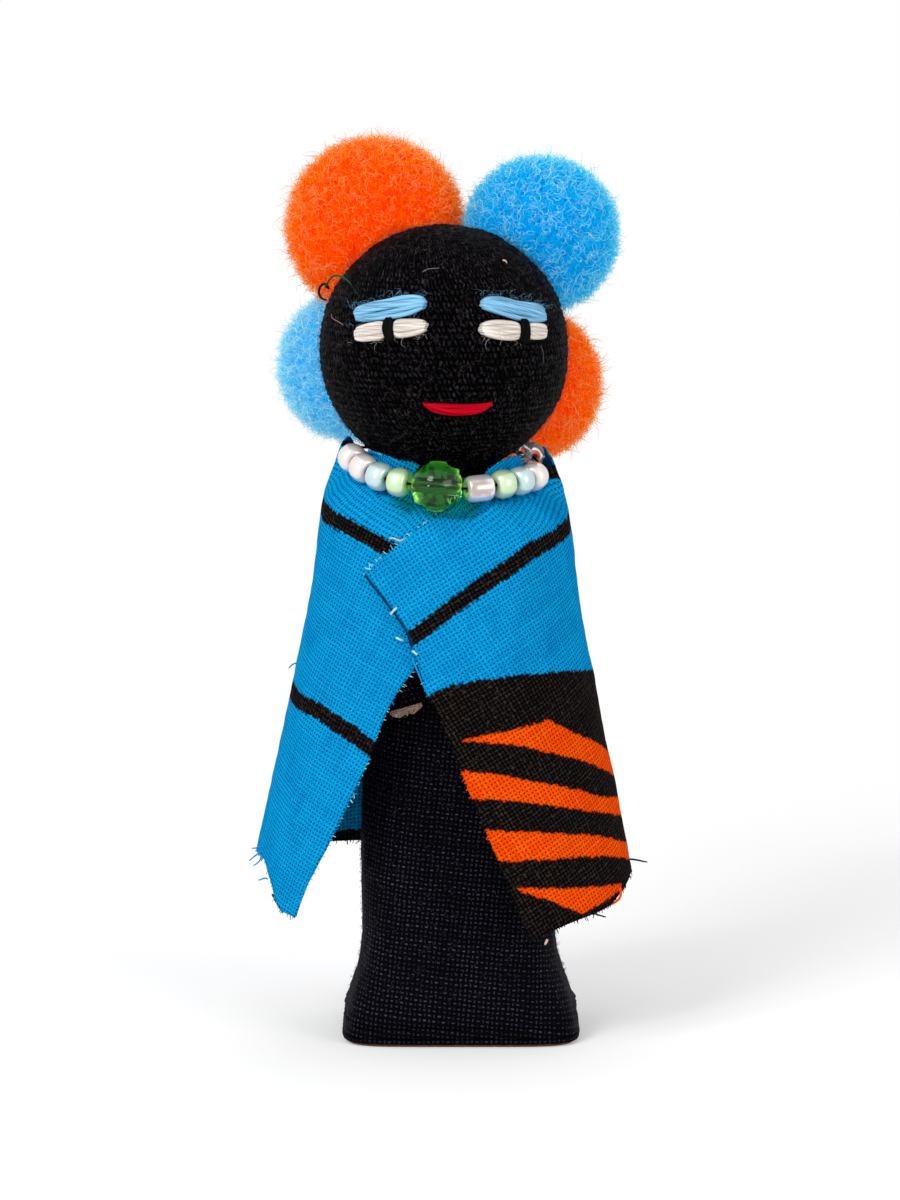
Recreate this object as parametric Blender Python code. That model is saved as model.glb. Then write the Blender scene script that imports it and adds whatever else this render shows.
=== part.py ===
# A small stuffed cloth doll with pompom hair, a printed shawl and a bead necklace.
# The doll stands on the XY plane and looks towards -Y. Sizes below are in millimetres.

import math

import bmesh
import bpy
from mathutils import Matrix, Vector

MM = 0.001

# Clearances
GAP = 0.35  # between pieces that lie against each other
CLOTH = 0.5  # thickness of the shawl's cotton
LAYER_STEP = 0.95  # the right flap stands this far out over the left one
COVER_WALL = 0.6  # thickness of the body's and the head's fabric

# Base card
CARD_THICK = 0.8
CARD_INSET = 0.7  # the card is this much smaller than the body's foot all round

# Body: height, half width, half depth and squareness of its outline
BODY_PROFILE = (
    (0.0, 16.6, 13.2, 6.0),
    (2.0, 16.2, 12.95, 5.2),
    (4.8, 15.4, 12.4, 4.2),
    (7.6, 14.5, 12.0, 3.6),
    (10.4, 13.85, 11.7, 3.2),
    (13.4, 13.5, 11.5, 3.0),
    (22.8, 13.4, 11.4, 2.8),
    (34.8, 13.2, 11.3, 2.6),
    (44.8, 13.1, 11.3, 2.5),
    (54.8, 12.9, 11.2, 2.4),
    (62.8, 12.6, 11.2, 2.3),
    (68.8, 12.1, 11.0, 2.2),
    (72.3, 11.1, 10.4, 2.1),
    (74.3, 9.5, 9.0, 2.0),
    (76.3, 8.2, 8.0, 2.0),
    (78.0, 7.1, 7.1, 2.0),
)
# The doll leans a little: height and shift of the body's centre along X
BODY_LEAN = ((0.0, 0.0), (14.0, -0.4), (46.0, -0.7), (66.0, -1.9), (74.0, -2.35), (80.0, -2.35))
BODY_SIDES = 26

# Neck
NECK_X = -2.35
TAIL_RADIUS = 4.8
TAIL_LENGTH = 8.0
TAIL_ROUND = 1.2  # height of the bevel round the tail's lower end
TAIL_SUNK = 1.2  # how far under the body's rim the tail's outer edge ends
TIE_TURNS = 3
TIE_THREAD = 0.55
TIE_GROOVE = 0.4  # how deep the thread draws the tail in
TIE_SUNK = 2.6  # from the body's rim down to the thread
NECK_SIDES = 16

# Head
HEAD_RADIUS = 17.2
HEAD_LIFT = 0.35  # the ball stands this far over the body's rim
HEAD_OPENING = 4.2  # radius of the gathered hole under the head
HEAD_SIDES = 26

# Pompoms: name, radius and direction from the head's centre
POMPOM_SIDES = 20
POMPOM_SINK = 0.66  # how far a pompom's centre lies out of the head, as a share of the pompom's radius
POMPOMS = (
    ("pompom_orange_top", 12.6, (-9.2, 16.8, 14.9)),
    ("pompom_blue_top", 10.7, (13.5, 13.5, 14.9)),
    ("pompom_blue_side", 10.6, (-12.6, 20.0, -4.1)),
    ("pompom_orange_side", 11.1, (10.8, 20.4, -6.7)),
)

# Embroidery
STITCH_RISE = 0.7
PUPIL_RISE = 0.5
WHITE_RISE = 0.55
STITCH_SIDES = 16
STITCH_END = 0.75  # below 1 the ends of a bar are blunt
STITCH_FALL = 0.75  # share of the rise that is lost at a bar's edge
# Name, thread, angles from the front towards +X and up, half length, half width, tilt in degrees, bend
EYELIDS_AND_MOUTH = (
    ("eyelid_right", "pale_blue_thread", -29.0, 23.4, 5.66, 1.4, 12.1, 0.0162),
    ("eyelid_left", "pale_blue_thread", 38.6, 22.3, 5.78, 1.4, -11.8, 0.0168),
    ("mouth", "red_thread", 6.0, -21.5, 4.89, 1.07, 0.0, 0.0385),
)
WHITES = (
    ("eye_white_right", "cream_thread", -26.9, 13.7, 5.82, 1.0, 8.4, 0.0094),
    ("eye_white_left", "cream_thread", 35.9, 12.9, 5.89, 1.0, -5.1, 0.0086),
)
PUPILS = (
    ("pupil_right", "black_thread", -25.5, 13.5, 1.74, 0.87, 103.7, 0.0),
    ("pupil_left", "black_thread", 38.6, 12.0, 1.74, 0.89, 75.8, 0.0),
)

# Shawl: height and distance from its centre line, at the sides and at the front and back
SHAWL_X = -2.3
SHAWL_SIDE = (
    (13.0, 27.7), (24.0, 26.0), (28.3, 25.2), (34.0, 24.0), (39.5, 22.8), (45.0, 21.7),
    (51.0, 20.5), (56.0, 19.4), (62.0, 18.4), (69.0, 17.6),
)
SHAWL_DEEP = (
    (13.0, 21.3), (24.0, 20.6), (34.0, 19.8), (45.0, 18.9), (56.0, 18.2), (62.0, 17.7), (69.0, 16.8),
)
# Height of the collar, and how far outside the necklace's thread it lies, at the sides and at the back
COLLAR_SIDE = ((76.0, 2.9), (79.0, 1.9), (81.5, 1.0), (84.0, 0.4))
COLLAR_BACK = ((73.0, 6.2), (76.0, 5.4), (79.0, 4.5), (84.0, 3.6))
COLLAR_EASE = 0.5  # between the body's neck and the collar where it passes behind the large bead
COLLAR_CROSS = 11.2  # degrees past the last bead at which the collar starts to pass out under the thread
CROSS_WIDTH = 14.0  # degrees that this takes
COLLAR_FOOT = (-7.0, -4.5)  # heights from the thread between which the shawl turns in to the collar
HOLLOW_SIDES = (5.0, 19.0)  # degrees past the large bead's ends in which its room in the collar ends
LAYER_TOP = (-4.6, -3.2)  # heights from the thread between which the flaps' layers come together
# Angle round the doll from the front towards +X, and height, of the top and the bottom edge
SHAWL_TOP = (
    (-36.0, 66.0), (-29.0, 68.2), (-20.0, 70.4), (-11.0, 72.7), (-1.0, 74.6), (10.0, 76.2), (20.0, 77.8),
    (30.0, 79.4), (42.0, 80.5), (60.0, 80.5), (72.0, 80.0), (80.0, 79.6), (89.0, 78.8), (98.0, 80.4),
    (107.0, 81.6), (117.0, 80.9), (130.0, 79.0), (150.0, 78.6), (180.0, 78.6), (210.0, 79.2),
    (235.0, 81.0), (252.0, 83.0), (262.0, 82.2), (271.0, 80.8), (281.0, 81.5), (300.0, 81.9),
    (330.0, 81.2), (344.0, 80.9), (356.0, 80.4),
)
SHAWL_HEM = (
    (25.0, 16.5), (39.0, 18.2), (58.0, 19.6), (69.0, 21.4), (90.0, 23.6), (130.0, 23.8), (180.0, 23.2),
    (230.0, 23.6), (262.0, 25.2), (284.0, 25.1), (294.0, 22.7), (298.2, 20.6), (305.0, 18.8), (310.0, 18.5),
)
# Height and angle of the two front edges, from the hem up
EDGE_RIGHT = (
    (16.5, 25.0), (27.0, 17.0), (40.1, 5.3), (47.3, -1.5), (50.2, -6.3), (53.4, -9.2), (56.2, -12.8),
    (58.0, -14.6), (62.3, -24.5), (66.0, -36.0),
)
EDGE_LEFT = (
    (18.5, 310.0), (22.9, 313.3), (27.8, 318.7), (33.6, 324.6), (40.8, 331.6), (47.7, 337.3),
    (50.8, 341.4), (54.8, 348.6), (62.0, 354.0), (70.0, 356.0), (80.4, 356.0),
)
COLLAR_SLOPE = 0.9  # how far the collar comes out for each millimetre down from the beads
FOLDS = 7
FOLD_DEPTH = 0.55
# Columns of the shawl's net by their angle at the upper edge
SHAWL_COLUMNS = (
    -36, -28, -19, -10, -1, 8, 16, 24, 32, 41, 50, 59, 68, 76, 83, 89, 95, 103, 112, 124, 138, 152,
    166, 180, 194, 208, 222, 236, 248, 258, 265, 271, 277, 284, 292, 301, 311, 321, 331, 340, 348,
    356,
)
# Rows of the shawl's net from the upper edge, set close where the collar bends in behind the beads
SHAWL_ROWS = (0.0, 0.017, 0.034, 0.05, 0.066, 0.08, 0.096, 0.13, 0.2, 0.32, 0.48, 0.65, 0.82, 1.0)

# Necklace
LOOP_BACK = 9.6  # from the neck's centre to the thread at the back
LOOP_NARROWS = (72.0, 155.0)  # angles between which the thread comes in towards the back
THREAD_RADIUS = 0.2
# Angle, and how far the thread hangs under the height at which a small bead would touch the ball
LOOP_DROP = (
    (-180.0, -1.28), (-140.0, -1.68), (-105.0, -0.92), (-88.0, -0.16), (-66.0, 1.1), (-52.0, 2.15),
    (-38.5, 2.95), (-25.0, 3.45), (-4.0, 3.8), (18.0, 4.2), (34.0, 3.85), (48.0, 3.65),
    (64.0, 3.45), (84.0, 2.19), (105.0, 0.18), (140.0, -1.48), (180.0, -1.28),
)
LOOP_POINTS = 56
SEED_RADIUS = 2.0
SEED_LENGTH = 2.85
SEED_BORE = 0.55
BIG_RADIUS = 3.7
BIG_LENGTH = 6.6
BIG_BORE = 0.8
TUBE_RADIUS = 1.85
TUBE_LENGTH = 3.8
CLEAR_RADIUS = 2.0
CLEAR_LENGTH = 2.8
BEAD_GAP = 0.45
BIG_GAP = 0.62  # beside the large bead, whose inner rims come nearer its neighbours
LAST_GAP = 0.8  # the white bead on the left hangs a little apart
BIG_ANGLE = -4.1
CLEAR_AFTER = 9.0  # degrees from where the collar has passed under the thread to the clear bead
BEAD_SIDES = 12

# Arms: angle round the body and height of the shoulder and of the sleeve's end
ARM_THICK = 3.3
ARM_WIDTH = 6.4
ARM_SHOULDER = (76.0, 71.5)
ARM_END = (29.5, 47.9)
ARM_SWELL = (0.62, 0.9)  # size of the first rings at the shoulder, as shares of the full arm
ARM_WAIST = 0.06  # how much the sleeve narrows half way down, as a share
HAND_LENGTH = 1.6
ARM_SIDES = 12
ARM_RINGS = 9

# Tack stitches over the right flap's edge: angle, height, length, tilt in degrees
TACK_RADIUS = 0.17
TACKS = (
    ("tack_stitch_top", -20.8, 61.5, 1.4, 48.0),
    ("tack_stitch_middle", 341.6, 57.6, 1.3, -20.0),
    ("tack_stitch_low", -11.4, 56.0, 0.9, -35.0),
)

# Colours: red, green, blue, roughness, metallic
FINISH = {
    "body_cloth": (0.006, 0.006, 0.012, 0.85, 0.0),
    "head_knit": (0.004, 0.004, 0.005, 0.9, 0.0),
    "stuffing": (0.75, 0.73, 0.68, 0.95, 0.0),
    "card": (0.3, 0.17, 0.1, 0.8, 0.0),
    "black_thread": (0.004, 0.004, 0.006, 0.7, 0.0),
    "orange_yarn": (0.85, 0.075, 0.004, 0.9, 0.0),
    "blue_yarn": (0.01, 0.37, 0.8, 0.9, 0.0),
    "pale_blue_thread": (0.23, 0.55, 0.8, 0.6, 0.0),
    "cream_thread": (0.9, 0.86, 0.79, 0.6, 0.0),
    "red_thread": (0.5, 0.002, 0.012, 0.6, 0.0),
    "shawl_print": (0.001, 0.28, 0.61, 0.8, 0.0),
    "tan_cloth": (0.3, 0.17, 0.11, 0.85, 0.0),
    "pearl_white": (0.68, 0.63, 0.62, 0.25, 0.0),
    "pearl_aqua": (0.55, 0.68, 0.66, 0.25, 0.0),
    "pearl_green": (0.5, 0.66, 0.42, 0.25, 0.0),
    "silver_bead": (0.72, 0.68, 0.69, 0.2, 0.3),
    "green_glass": (0.1, 0.42, 0.06, 0.05, 0.0),
    "clear_bead": (0.7, 0.7, 0.72, 0.1, 0.2),
    "tack_thread": (0.7, 0.8, 0.78, 0.6, 0.0),
}


# Heights that follow from the sizes above

BODY_FOOT = CARD_THICK + GAP
NECK_TOP = BODY_FOOT + BODY_PROFILE[-1][0]
NECK_RADIUS = BODY_PROFILE[-1][1]
HEAD_Z = NECK_TOP + HEAD_LIFT + math.sqrt((HEAD_RADIUS + GAP) ** 2 - NECK_RADIUS**2)
HEAD_CENTRE = Vector((NECK_X, 0.0, HEAD_Z))
TAIL_BOTTOM = NECK_TOP - TAIL_SUNK - TAIL_LENGTH
TIE_TOP = NECK_TOP - TIE_SUNK
COLLAR_RADIUS = BODY_PROFILE[-2][2] + GAP + CLOTH / 2 + COLLAR_EASE  # behind the large bead
BEAD_ROOM = CLOTH / 2 + 1.3 * GAP  # from a bead to the collar's middle
LOOP_RADIUS = COLLAR_RADIUS + BEAD_ROOM + BIG_RADIUS  # from the neck's centre to the thread at the front


def clear_scene():
    for obj in list(bpy.data.objects):
        bpy.data.objects.remove(obj)


def material(name):
    found = bpy.data.materials.get(name)
    if found:
        return found
    made = bpy.data.materials.new(name)
    made.use_nodes = True
    shader = made.node_tree.nodes["Principled BSDF"]
    red, green, blue, rough, metal = FINISH[name]
    shader.inputs["Base Color"].default_value = (red, green, blue, 1.0)
    shader.inputs["Roughness"].default_value = rough
    shader.inputs["Metallic"].default_value = metal
    made.diffuse_color = (red, green, blue, 1.0)
    return made


def along(knots, x):
    """The value at x on a smooth curve through the knots, which are (x, value, ...) rows in order of x."""
    if x <= knots[0][0]:
        return list(knots[0][1:])
    if x >= knots[-1][0]:
        return list(knots[-1][1:])
    i = next(n for n in range(len(knots) - 1) if x <= knots[n + 1][0])
    (x0, *low), (x1, *high) = knots[i], knots[i + 1]
    before = knots[i - 1] if i > 0 else None
    after = knots[i + 2] if i + 2 < len(knots) else None
    s = (x - x0) / (x1 - x0)
    values = []
    for k in range(len(low)):
        chord = (high[k] - low[k]) / (x1 - x0)
        start = end = chord
        if before:
            last = (low[k] - before[k + 1]) / (x0 - before[0])
            start = 0.0 if last * chord <= 0 else 2 * last * chord / (last + chord)
        if after:
            following = (after[k + 1] - high[k]) / (after[0] - x1)
            end = 0.0 if following * chord <= 0 else 2 * following * chord / (following + chord)
        span = x1 - x0
        values.append(
            (2 * s**3 - 3 * s**2 + 1) * low[k]
            + (s**3 - 2 * s**2 + s) * span * start
            + (3 * s**2 - 2 * s**3) * high[k]
            + (s**3 - s**2) * span * end
        )
    return values


def smooth(x, low, high):
    s = min(1.0, max(0.0, (x - low) / (high - low)))
    return s * s * (3 - 2 * s)


def mix(a, b, share):
    return a + (b - a) * share


def new_object(name, mesh_data, finish, origin=(0.0, 0.0, 0.0), parent=None):
    """An object from a bmesh in millimetres, with its origin at a point given in millimetres."""
    place = Vector(origin)
    bmesh.ops.translate(mesh_data, verts=mesh_data.verts, vec=-place)
    bmesh.ops.scale(mesh_data, verts=mesh_data.verts, vec=(MM, MM, MM))
    bmesh.ops.recalc_face_normals(mesh_data, faces=mesh_data.faces)
    mesh = bpy.data.meshes.new(name)
    mesh_data.to_mesh(mesh)
    mesh_data.free()
    mesh.shade_smooth()
    obj = bpy.data.objects.new(name, mesh)
    bpy.context.scene.collection.objects.link(obj)
    obj.location = place * MM
    mesh.materials.append(material(finish))
    if parent is not None:
        obj.parent = parent
        obj.location = place * MM - parent.location
    return obj


def pivot(name, place):
    empty = bpy.data.objects.new(name, None)
    bpy.context.scene.collection.objects.link(empty)
    empty.empty_display_size = 5 * MM
    empty.location = Vector(place) * MM
    return empty


def loft(rings, closed_low=True, closed_high=True, round_trip=False):
    """A bmesh skin over rings of points, where a ring of one point is a pole.

    A round trip joins the last ring to the first.
    """
    made = bmesh.new()
    rows = [[made.verts.new(p) for p in ring] for ring in rings]
    pairs = list(zip(rows, rows[1:]))
    if round_trip:
        pairs.append((rows[-1], rows[0]))
    for low, high in pairs:
        count = max(len(low), len(high))
        for i in range(count):
            j = (i + 1) % count
            if len(low) == 1:
                made.faces.new((low[0], high[j], high[i]))
            elif len(high) == 1:
                made.faces.new((low[i], low[j], high[0]))
            else:
                made.faces.new((low[i], low[j], high[j], high[i]))
    if not round_trip:
        if closed_low and len(rows[0]) > 1:
            made.faces.new(list(reversed(rows[0])))
        if closed_high and len(rows[-1]) > 1:
            made.faces.new(rows[-1])
    return made


def circle(radius, height, sides, turn=0.0):
    step = 2 * math.pi / sides
    return [
        Vector((radius * math.cos(i * step + turn), radius * math.sin(i * step + turn), height))
        for i in range(sides)
    ]


def add_solidify(obj, thickness, offset):
    wall = obj.modifiers.new("wall", "SOLIDIFY")
    wall.thickness = thickness * MM
    wall.offset = offset
    wall.use_even_offset = True
    return wall


def cut(obj, cutter):
    taken = obj.modifiers.new("cut by " + cutter.name, "BOOLEAN")
    taken.operation = "DIFFERENCE"
    taken.solver = "EXACT"
    taken.object = cutter


def as_cutter(obj):
    obj.hide_render = True
    obj.display_type = "WIRE"
    return obj


# Body


def body_ring(height, inset=0.0):
    """The body's outline at a height above its foot, drawn in by an inset."""
    half_width, half_depth, power = along(BODY_PROFILE, height)
    shift = along(BODY_LEAN, height)[0]
    ring = []
    for i in range(BODY_SIDES):
        turn = 2 * math.pi * (i + 0.5) / BODY_SIDES
        c, s = math.cos(turn), math.sin(turn)
        x = (half_width - inset) * math.copysign(abs(c) ** (2 / power), c)
        y = (half_depth - inset) * math.copysign(abs(s) ** (2 / power), s)
        ring.append(Vector((x + shift, y, height + BODY_FOOT)))
    return ring


def body_radius(angle, height):
    """Distance from the body's own centre to its cover, at an angle from the front and a height."""
    half_width, half_depth, power = along(BODY_PROFILE, height - BODY_FOOT)
    s, c = abs(math.sin(math.radians(angle))), abs(math.cos(math.radians(angle)))
    return ((s / half_width) ** power + (c / half_depth) ** power) ** (-1 / power)


def build_body():
    card = loft([body_outline(0.0, CARD_INSET, 0.0), body_outline(0.0, CARD_INSET, CARD_THICK)])
    new_object("base_card", card, "card")
    heights = [row[0] for row in BODY_PROFILE]
    rings = [body_ring(h) for h in heights]
    centre = Vector((0.0, 0.0, BODY_FOOT))
    cover = loft([[centre]] + rings, closed_high=False)
    body = new_object("body_cover", cover, "body_cloth")
    add_solidify(body, COVER_WALL, -1.0)
    inset = COVER_WALL + GAP
    top = TAIL_BOTTOM - GAP - BODY_FOOT
    inner = [body_ring(h, inset) for h in heights if inset < h < top - 1.0]
    fill = loft([body_ring(inset, inset)] + inner + [body_ring(top, inset)])
    new_object("body_stuffing", fill, "stuffing")


def body_outline(height, inset, z):
    ring = body_ring(height, inset)
    return [Vector((p.x, p.y, z)) for p in ring]


# Neck


def build_neck(turn):
    """The gathered tail of the head's knit, hollowed on top for the ball, and the thread wound round it."""
    seat = HEAD_RADIUS + GAP
    groove = TAIL_RADIUS - TIE_GROOVE
    tie_bottom = TIE_TOP - TIE_TURNS * TIE_THREAD
    profile = [
        (0.0, TAIL_BOTTOM),
        (TAIL_RADIUS * 0.7, TAIL_BOTTOM),
        (TAIL_RADIUS, TAIL_BOTTOM + TAIL_ROUND),
        (TAIL_RADIUS, tie_bottom - 2 * GAP),
        (groove, tie_bottom - GAP),
        (groove, TIE_TOP + GAP),
        (TAIL_RADIUS, TIE_TOP + 2 * GAP),
    ]
    for share in (1.0, 0.66, 0.33, 0.0):
        r = TAIL_RADIUS * share
        profile.append((r, HEAD_Z - math.sqrt(seat**2 - r * r)))
    new_object("neck_tail", neck_rings(profile), "head_knit", HEAD_CENTRE, turn)
    inner = groove + GAP
    profile = []
    for k in range(TIE_TURNS):
        low = tie_bottom + k * TIE_THREAD
        profile += [
            (inner + TIE_THREAD * 0.6, low + TIE_THREAD * 0.05),
            (inner + TIE_THREAD, low + TIE_THREAD * 0.5),
            (inner + TIE_THREAD * 0.6, low + TIE_THREAD * 0.95),
        ]
    profile += [(inner, TIE_TOP - TIE_THREAD * 0.2), (inner, tie_bottom + TIE_THREAD * 0.2)]
    new_object("neck_thread", neck_rings(profile, round_trip=True), "black_thread", HEAD_CENTRE, turn)


def neck_rings(profile, round_trip=False):
    """A solid turned about the neck's upright line from radius and height pairs."""
    across = Vector((NECK_X, 0.0, 0.0))
    rings = []
    for r, z in profile:
        rings.append([p + across for p in (circle(r, z, NECK_SIDES) if r > 0 else [Vector((0.0, 0.0, z))])])
    return loft(rings, round_trip=round_trip)


# Head


def ball(radius, sides, rows, centre, low=0.0):
    """Rings of a ball, which start at the angle low from its lowest point, in degrees: 0 closes it."""
    rings = []
    for i in range(rows + 1):
        polar = math.radians(mix(low, 180.0, i / rows))
        r, z = radius * math.sin(polar), -radius * math.cos(polar)
        if i == rows or (i == 0 and low == 0):
            rings.append([centre + Vector((0, 0, z))])
        else:
            rings.append([p + centre for p in circle(r, z, sides)])
    return rings


def build_head(nod):
    opening = math.degrees(math.asin(HEAD_OPENING / HEAD_RADIUS))
    skin = loft(ball(HEAD_RADIUS, HEAD_SIDES, 14, HEAD_CENTRE, opening), closed_low=False)
    cover = new_object("head_cover", skin, "head_knit", HEAD_CENTRE, nod)
    add_solidify(cover, COVER_WALL, -1.0)
    fill = loft(ball(HEAD_RADIUS - COVER_WALL - 1.5 * GAP, 22, 13, HEAD_CENTRE))
    new_object("head_stuffing", fill, "stuffing", HEAD_CENTRE, nod)


def build_pompoms(nod):
    round_head = loft(ball(HEAD_RADIUS + GAP, 32, 20, HEAD_CENTRE))
    seat = as_cutter(new_object("seat_of_pompoms", round_head, "head_knit", HEAD_CENTRE))
    placed = []
    for name, radius, way in POMPOMS:
        reach = HEAD_RADIUS + POMPOM_SINK * radius
        centre = HEAD_CENTRE + Vector(way).normalized() * reach
        colour = "orange_yarn" if "orange" in name else "blue_yarn"
        pompom = new_object(name, loft(ball(radius, POMPOM_SIDES, 13, centre)), colour, centre, nod)
        cut(pompom, seat)
        for other, other_radius, other_centre in placed:
            if (centre - other_centre).length < radius + other_radius + GAP:
                cut(pompom, other)
        larger = new_object(name + "_room", loft(ball(radius + GAP, 28, 16, centre)), colour, centre)
        placed.append((as_cutter(larger), radius, centre))


# Embroidery


def face_point(azimuth, elevation, u, v, lift):
    """A point over the ball, u and v along its surface from the place at two angles from the front."""
    a, e = math.radians(azimuth), math.radians(elevation)
    out = Vector((math.sin(a) * math.cos(e), -math.cos(a) * math.cos(e), math.sin(e)))
    across = Vector((math.cos(a), math.sin(a), 0.0))
    way = across * u + out.cross(across).normalized() * v
    turn = way.length / HEAD_RADIUS
    if turn > 0:
        out = out * math.cos(turn) + way.normalized() * math.sin(turn)
    return HEAD_CENTRE + out * (HEAD_RADIUS + lift)


def stitch_pad(nod, rise, low, name, thread, azimuth, elevation, half_length, half_width, tilt, bend):
    """A satin-stitched bar on the ball: a pillow whose underside follows the head."""
    c, s = math.cos(math.radians(tilt)), math.sin(math.radians(tilt))

    def ring(scale, top):
        points = []
        for i in range(1 if scale == 0 else STITCH_SIDES):
            turn = 2 * math.pi * i / STITCH_SIDES
            u = scale * half_length * math.copysign(abs(math.cos(turn)) ** STITCH_END, math.cos(turn))
            w = scale * half_width * math.copysign(abs(math.sin(turn)) ** STITCH_END, math.sin(turn))
            v = w + bend * (u * u - half_length**2 / 2)
            height = low + (rise * (1 - STITCH_FALL * scale**3) if top else 0.0)
            points.append(face_point(azimuth, elevation, u * c - v * s, u * s + v * c, height))
        return points

    scales = (1.0, 0.72, 0.36, 0.0)
    under = [ring(scale, False) for scale in reversed(scales)]
    over = [ring(scale, True) for scale in scales]
    new_object(name, loft(under + over), thread, face_point(azimuth, elevation, 0.0, 0.0, 0.0), nod)


def build_face(nod):
    for row in EYELIDS_AND_MOUTH:
        stitch_pad(nod, STITCH_RISE, GAP, *row)
    for row in WHITES:
        stitch_pad(nod, WHITE_RISE, GAP, *row)
    for row in PUPILS:
        stitch_pad(nod, PUPIL_RISE, GAP + WHITE_RISE + GAP, *row)


# Necklace


def loop_point(angle):
    """The thread's place at an angle from the front, in degrees."""
    turn = (angle + 180.0) % 360.0 - 180.0
    reach = mix(LOOP_RADIUS, LOOP_BACK, smooth(abs(turn), *LOOP_NARROWS))
    touching = HEAD_Z - math.sqrt((HEAD_RADIUS + SEED_RADIUS) ** 2 - reach**2)
    height = touching - along(LOOP_DROP, turn)[0]
    turn = math.radians(turn)
    return Vector((NECK_X + reach * math.sin(turn), -reach * math.cos(turn), height))


def turned_to(direction):
    return Vector(direction).to_track_quat("Z", "Y").to_matrix().to_4x4()


def build_bead(name, angle, radius, length, bore, colour, squareness=2.5, facets=0):
    """A bead turned about the thread's own direction."""
    place = loop_point(angle)
    way = (loop_point(angle + 4.0) - loop_point(angle - 4.0)).normalized()
    sides = facets or BEAD_SIDES
    rim = bore + (0.25 if facets else 0.35)
    steps = 6
    profile = [(bore, -length / 2 + 0.15), (rim, -length / 2)]
    for i in range(1, steps):
        share = math.sin(math.radians(-90 + 180 * i / steps))
        out = (1 - abs(share) ** squareness) ** (1 / squareness)
        profile.append((rim + (radius - rim) * out, share * length / 2 * 0.98))
    profile += [(rim, length / 2), (bore, length / 2 - 0.15)]
    shift = math.pi / sides if facets else 0.0
    rings = [circle(r, z, sides, shift * (i % 2)) for i, (r, z) in enumerate(profile)]
    solid = loft(rings, round_trip=True)
    bmesh.ops.transform(solid, matrix=Matrix.Translation(place) @ turned_to(way), verts=solid.verts)
    obj = new_object(name, solid, colour, place)
    if facets:
        obj.data.shade_flat()
    return obj


def bead_angles():
    """Angles of the beads on the loop, worked outwards from the large one."""
    per_mm = math.degrees(1 / LOOP_RADIUS)
    big, seed, tube = BIG_LENGTH / 2, SEED_LENGTH / 2, TUBE_LENGTH / 2
    left = [BIG_ANGLE - (big + BIG_GAP + seed) * per_mm]
    for _ in range(3):
        left.append(left[-1] - (SEED_LENGTH + BEAD_GAP) * per_mm)
    right = [BIG_ANGLE + (big + BIG_GAP + tube) * per_mm]
    right.append(right[-1] + (tube + BEAD_GAP + seed) * per_mm)
    right.append(right[-1] + (SEED_LENGTH + BEAD_GAP) * per_mm)
    right.append(right[-1] + (SEED_LENGTH + LAST_GAP) * per_mm)
    return left, right


def build_necklace():
    centre = [loop_point(360.0 * i / LOOP_POINTS) for i in range(LOOP_POINTS)]
    rings = []
    for i, p in enumerate(centre):
        way = (centre[(i + 1) % LOOP_POINTS] - centre[i - 1]).normalized()
        side = Vector((0, 0, 1)).cross(way).normalized()
        up = way.cross(side)
        rings.append([
            p + (side * math.cos(a) + up * math.sin(a)) * THREAD_RADIUS
            for a in (2 * math.pi * k / 5 for k in range(5))
        ])
    new_object("necklace_thread", loft(rings, round_trip=True), "black_thread")
    left, right = bead_angles()
    build_bead("bead_green_large", BIG_ANGLE, BIG_RADIUS, BIG_LENGTH, BIG_BORE, "green_glass", 2.2, 12)
    for name, angle, colour in (
        ("bead_green_right", left[0], "pearl_green"),
        ("bead_aqua_right", left[1], "pearl_aqua"),
        ("bead_white_right_inner", left[2], "pearl_white"),
        ("bead_white_right_outer", left[3], "pearl_white"),
        ("bead_green_left", right[1], "pearl_green"),
        ("bead_aqua_left", right[2], "pearl_aqua"),
        ("bead_white_left", right[3], "pearl_white"),
    ):
        build_bead(name, angle, SEED_RADIUS, SEED_LENGTH, SEED_BORE, colour)
    build_bead("bead_silver_tube", right[0], TUBE_RADIUS, TUBE_LENGTH, SEED_BORE, "silver_bead", 5.0)
    clear_angle = collar_cross()[1] + CLEAR_AFTER
    build_bead("bead_clear_back", clear_angle, CLEAR_RADIUS, CLEAR_LENGTH, SEED_BORE, "clear_bead")


# Shawl


def throat_reach(over, bead):
    """How far from the neck's centre the collar lies at a height over the thread, to leave a bead room."""
    room = bead + BEAD_ROOM
    share = max(-1.0, min(0.0, over / room))
    return LOOP_RADIUS - room * math.sqrt(1 - share * share) + COLLAR_SLOPE * max(0.0, -over - room)


def collar_cross():
    """Angles from the front between which the collar passes from inside the necklace to outside it."""
    left, right = bead_angles()
    start = max(-left[-1], right[-1]) + COLLAR_CROSS
    return start, start + CROSS_WIDTH


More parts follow.
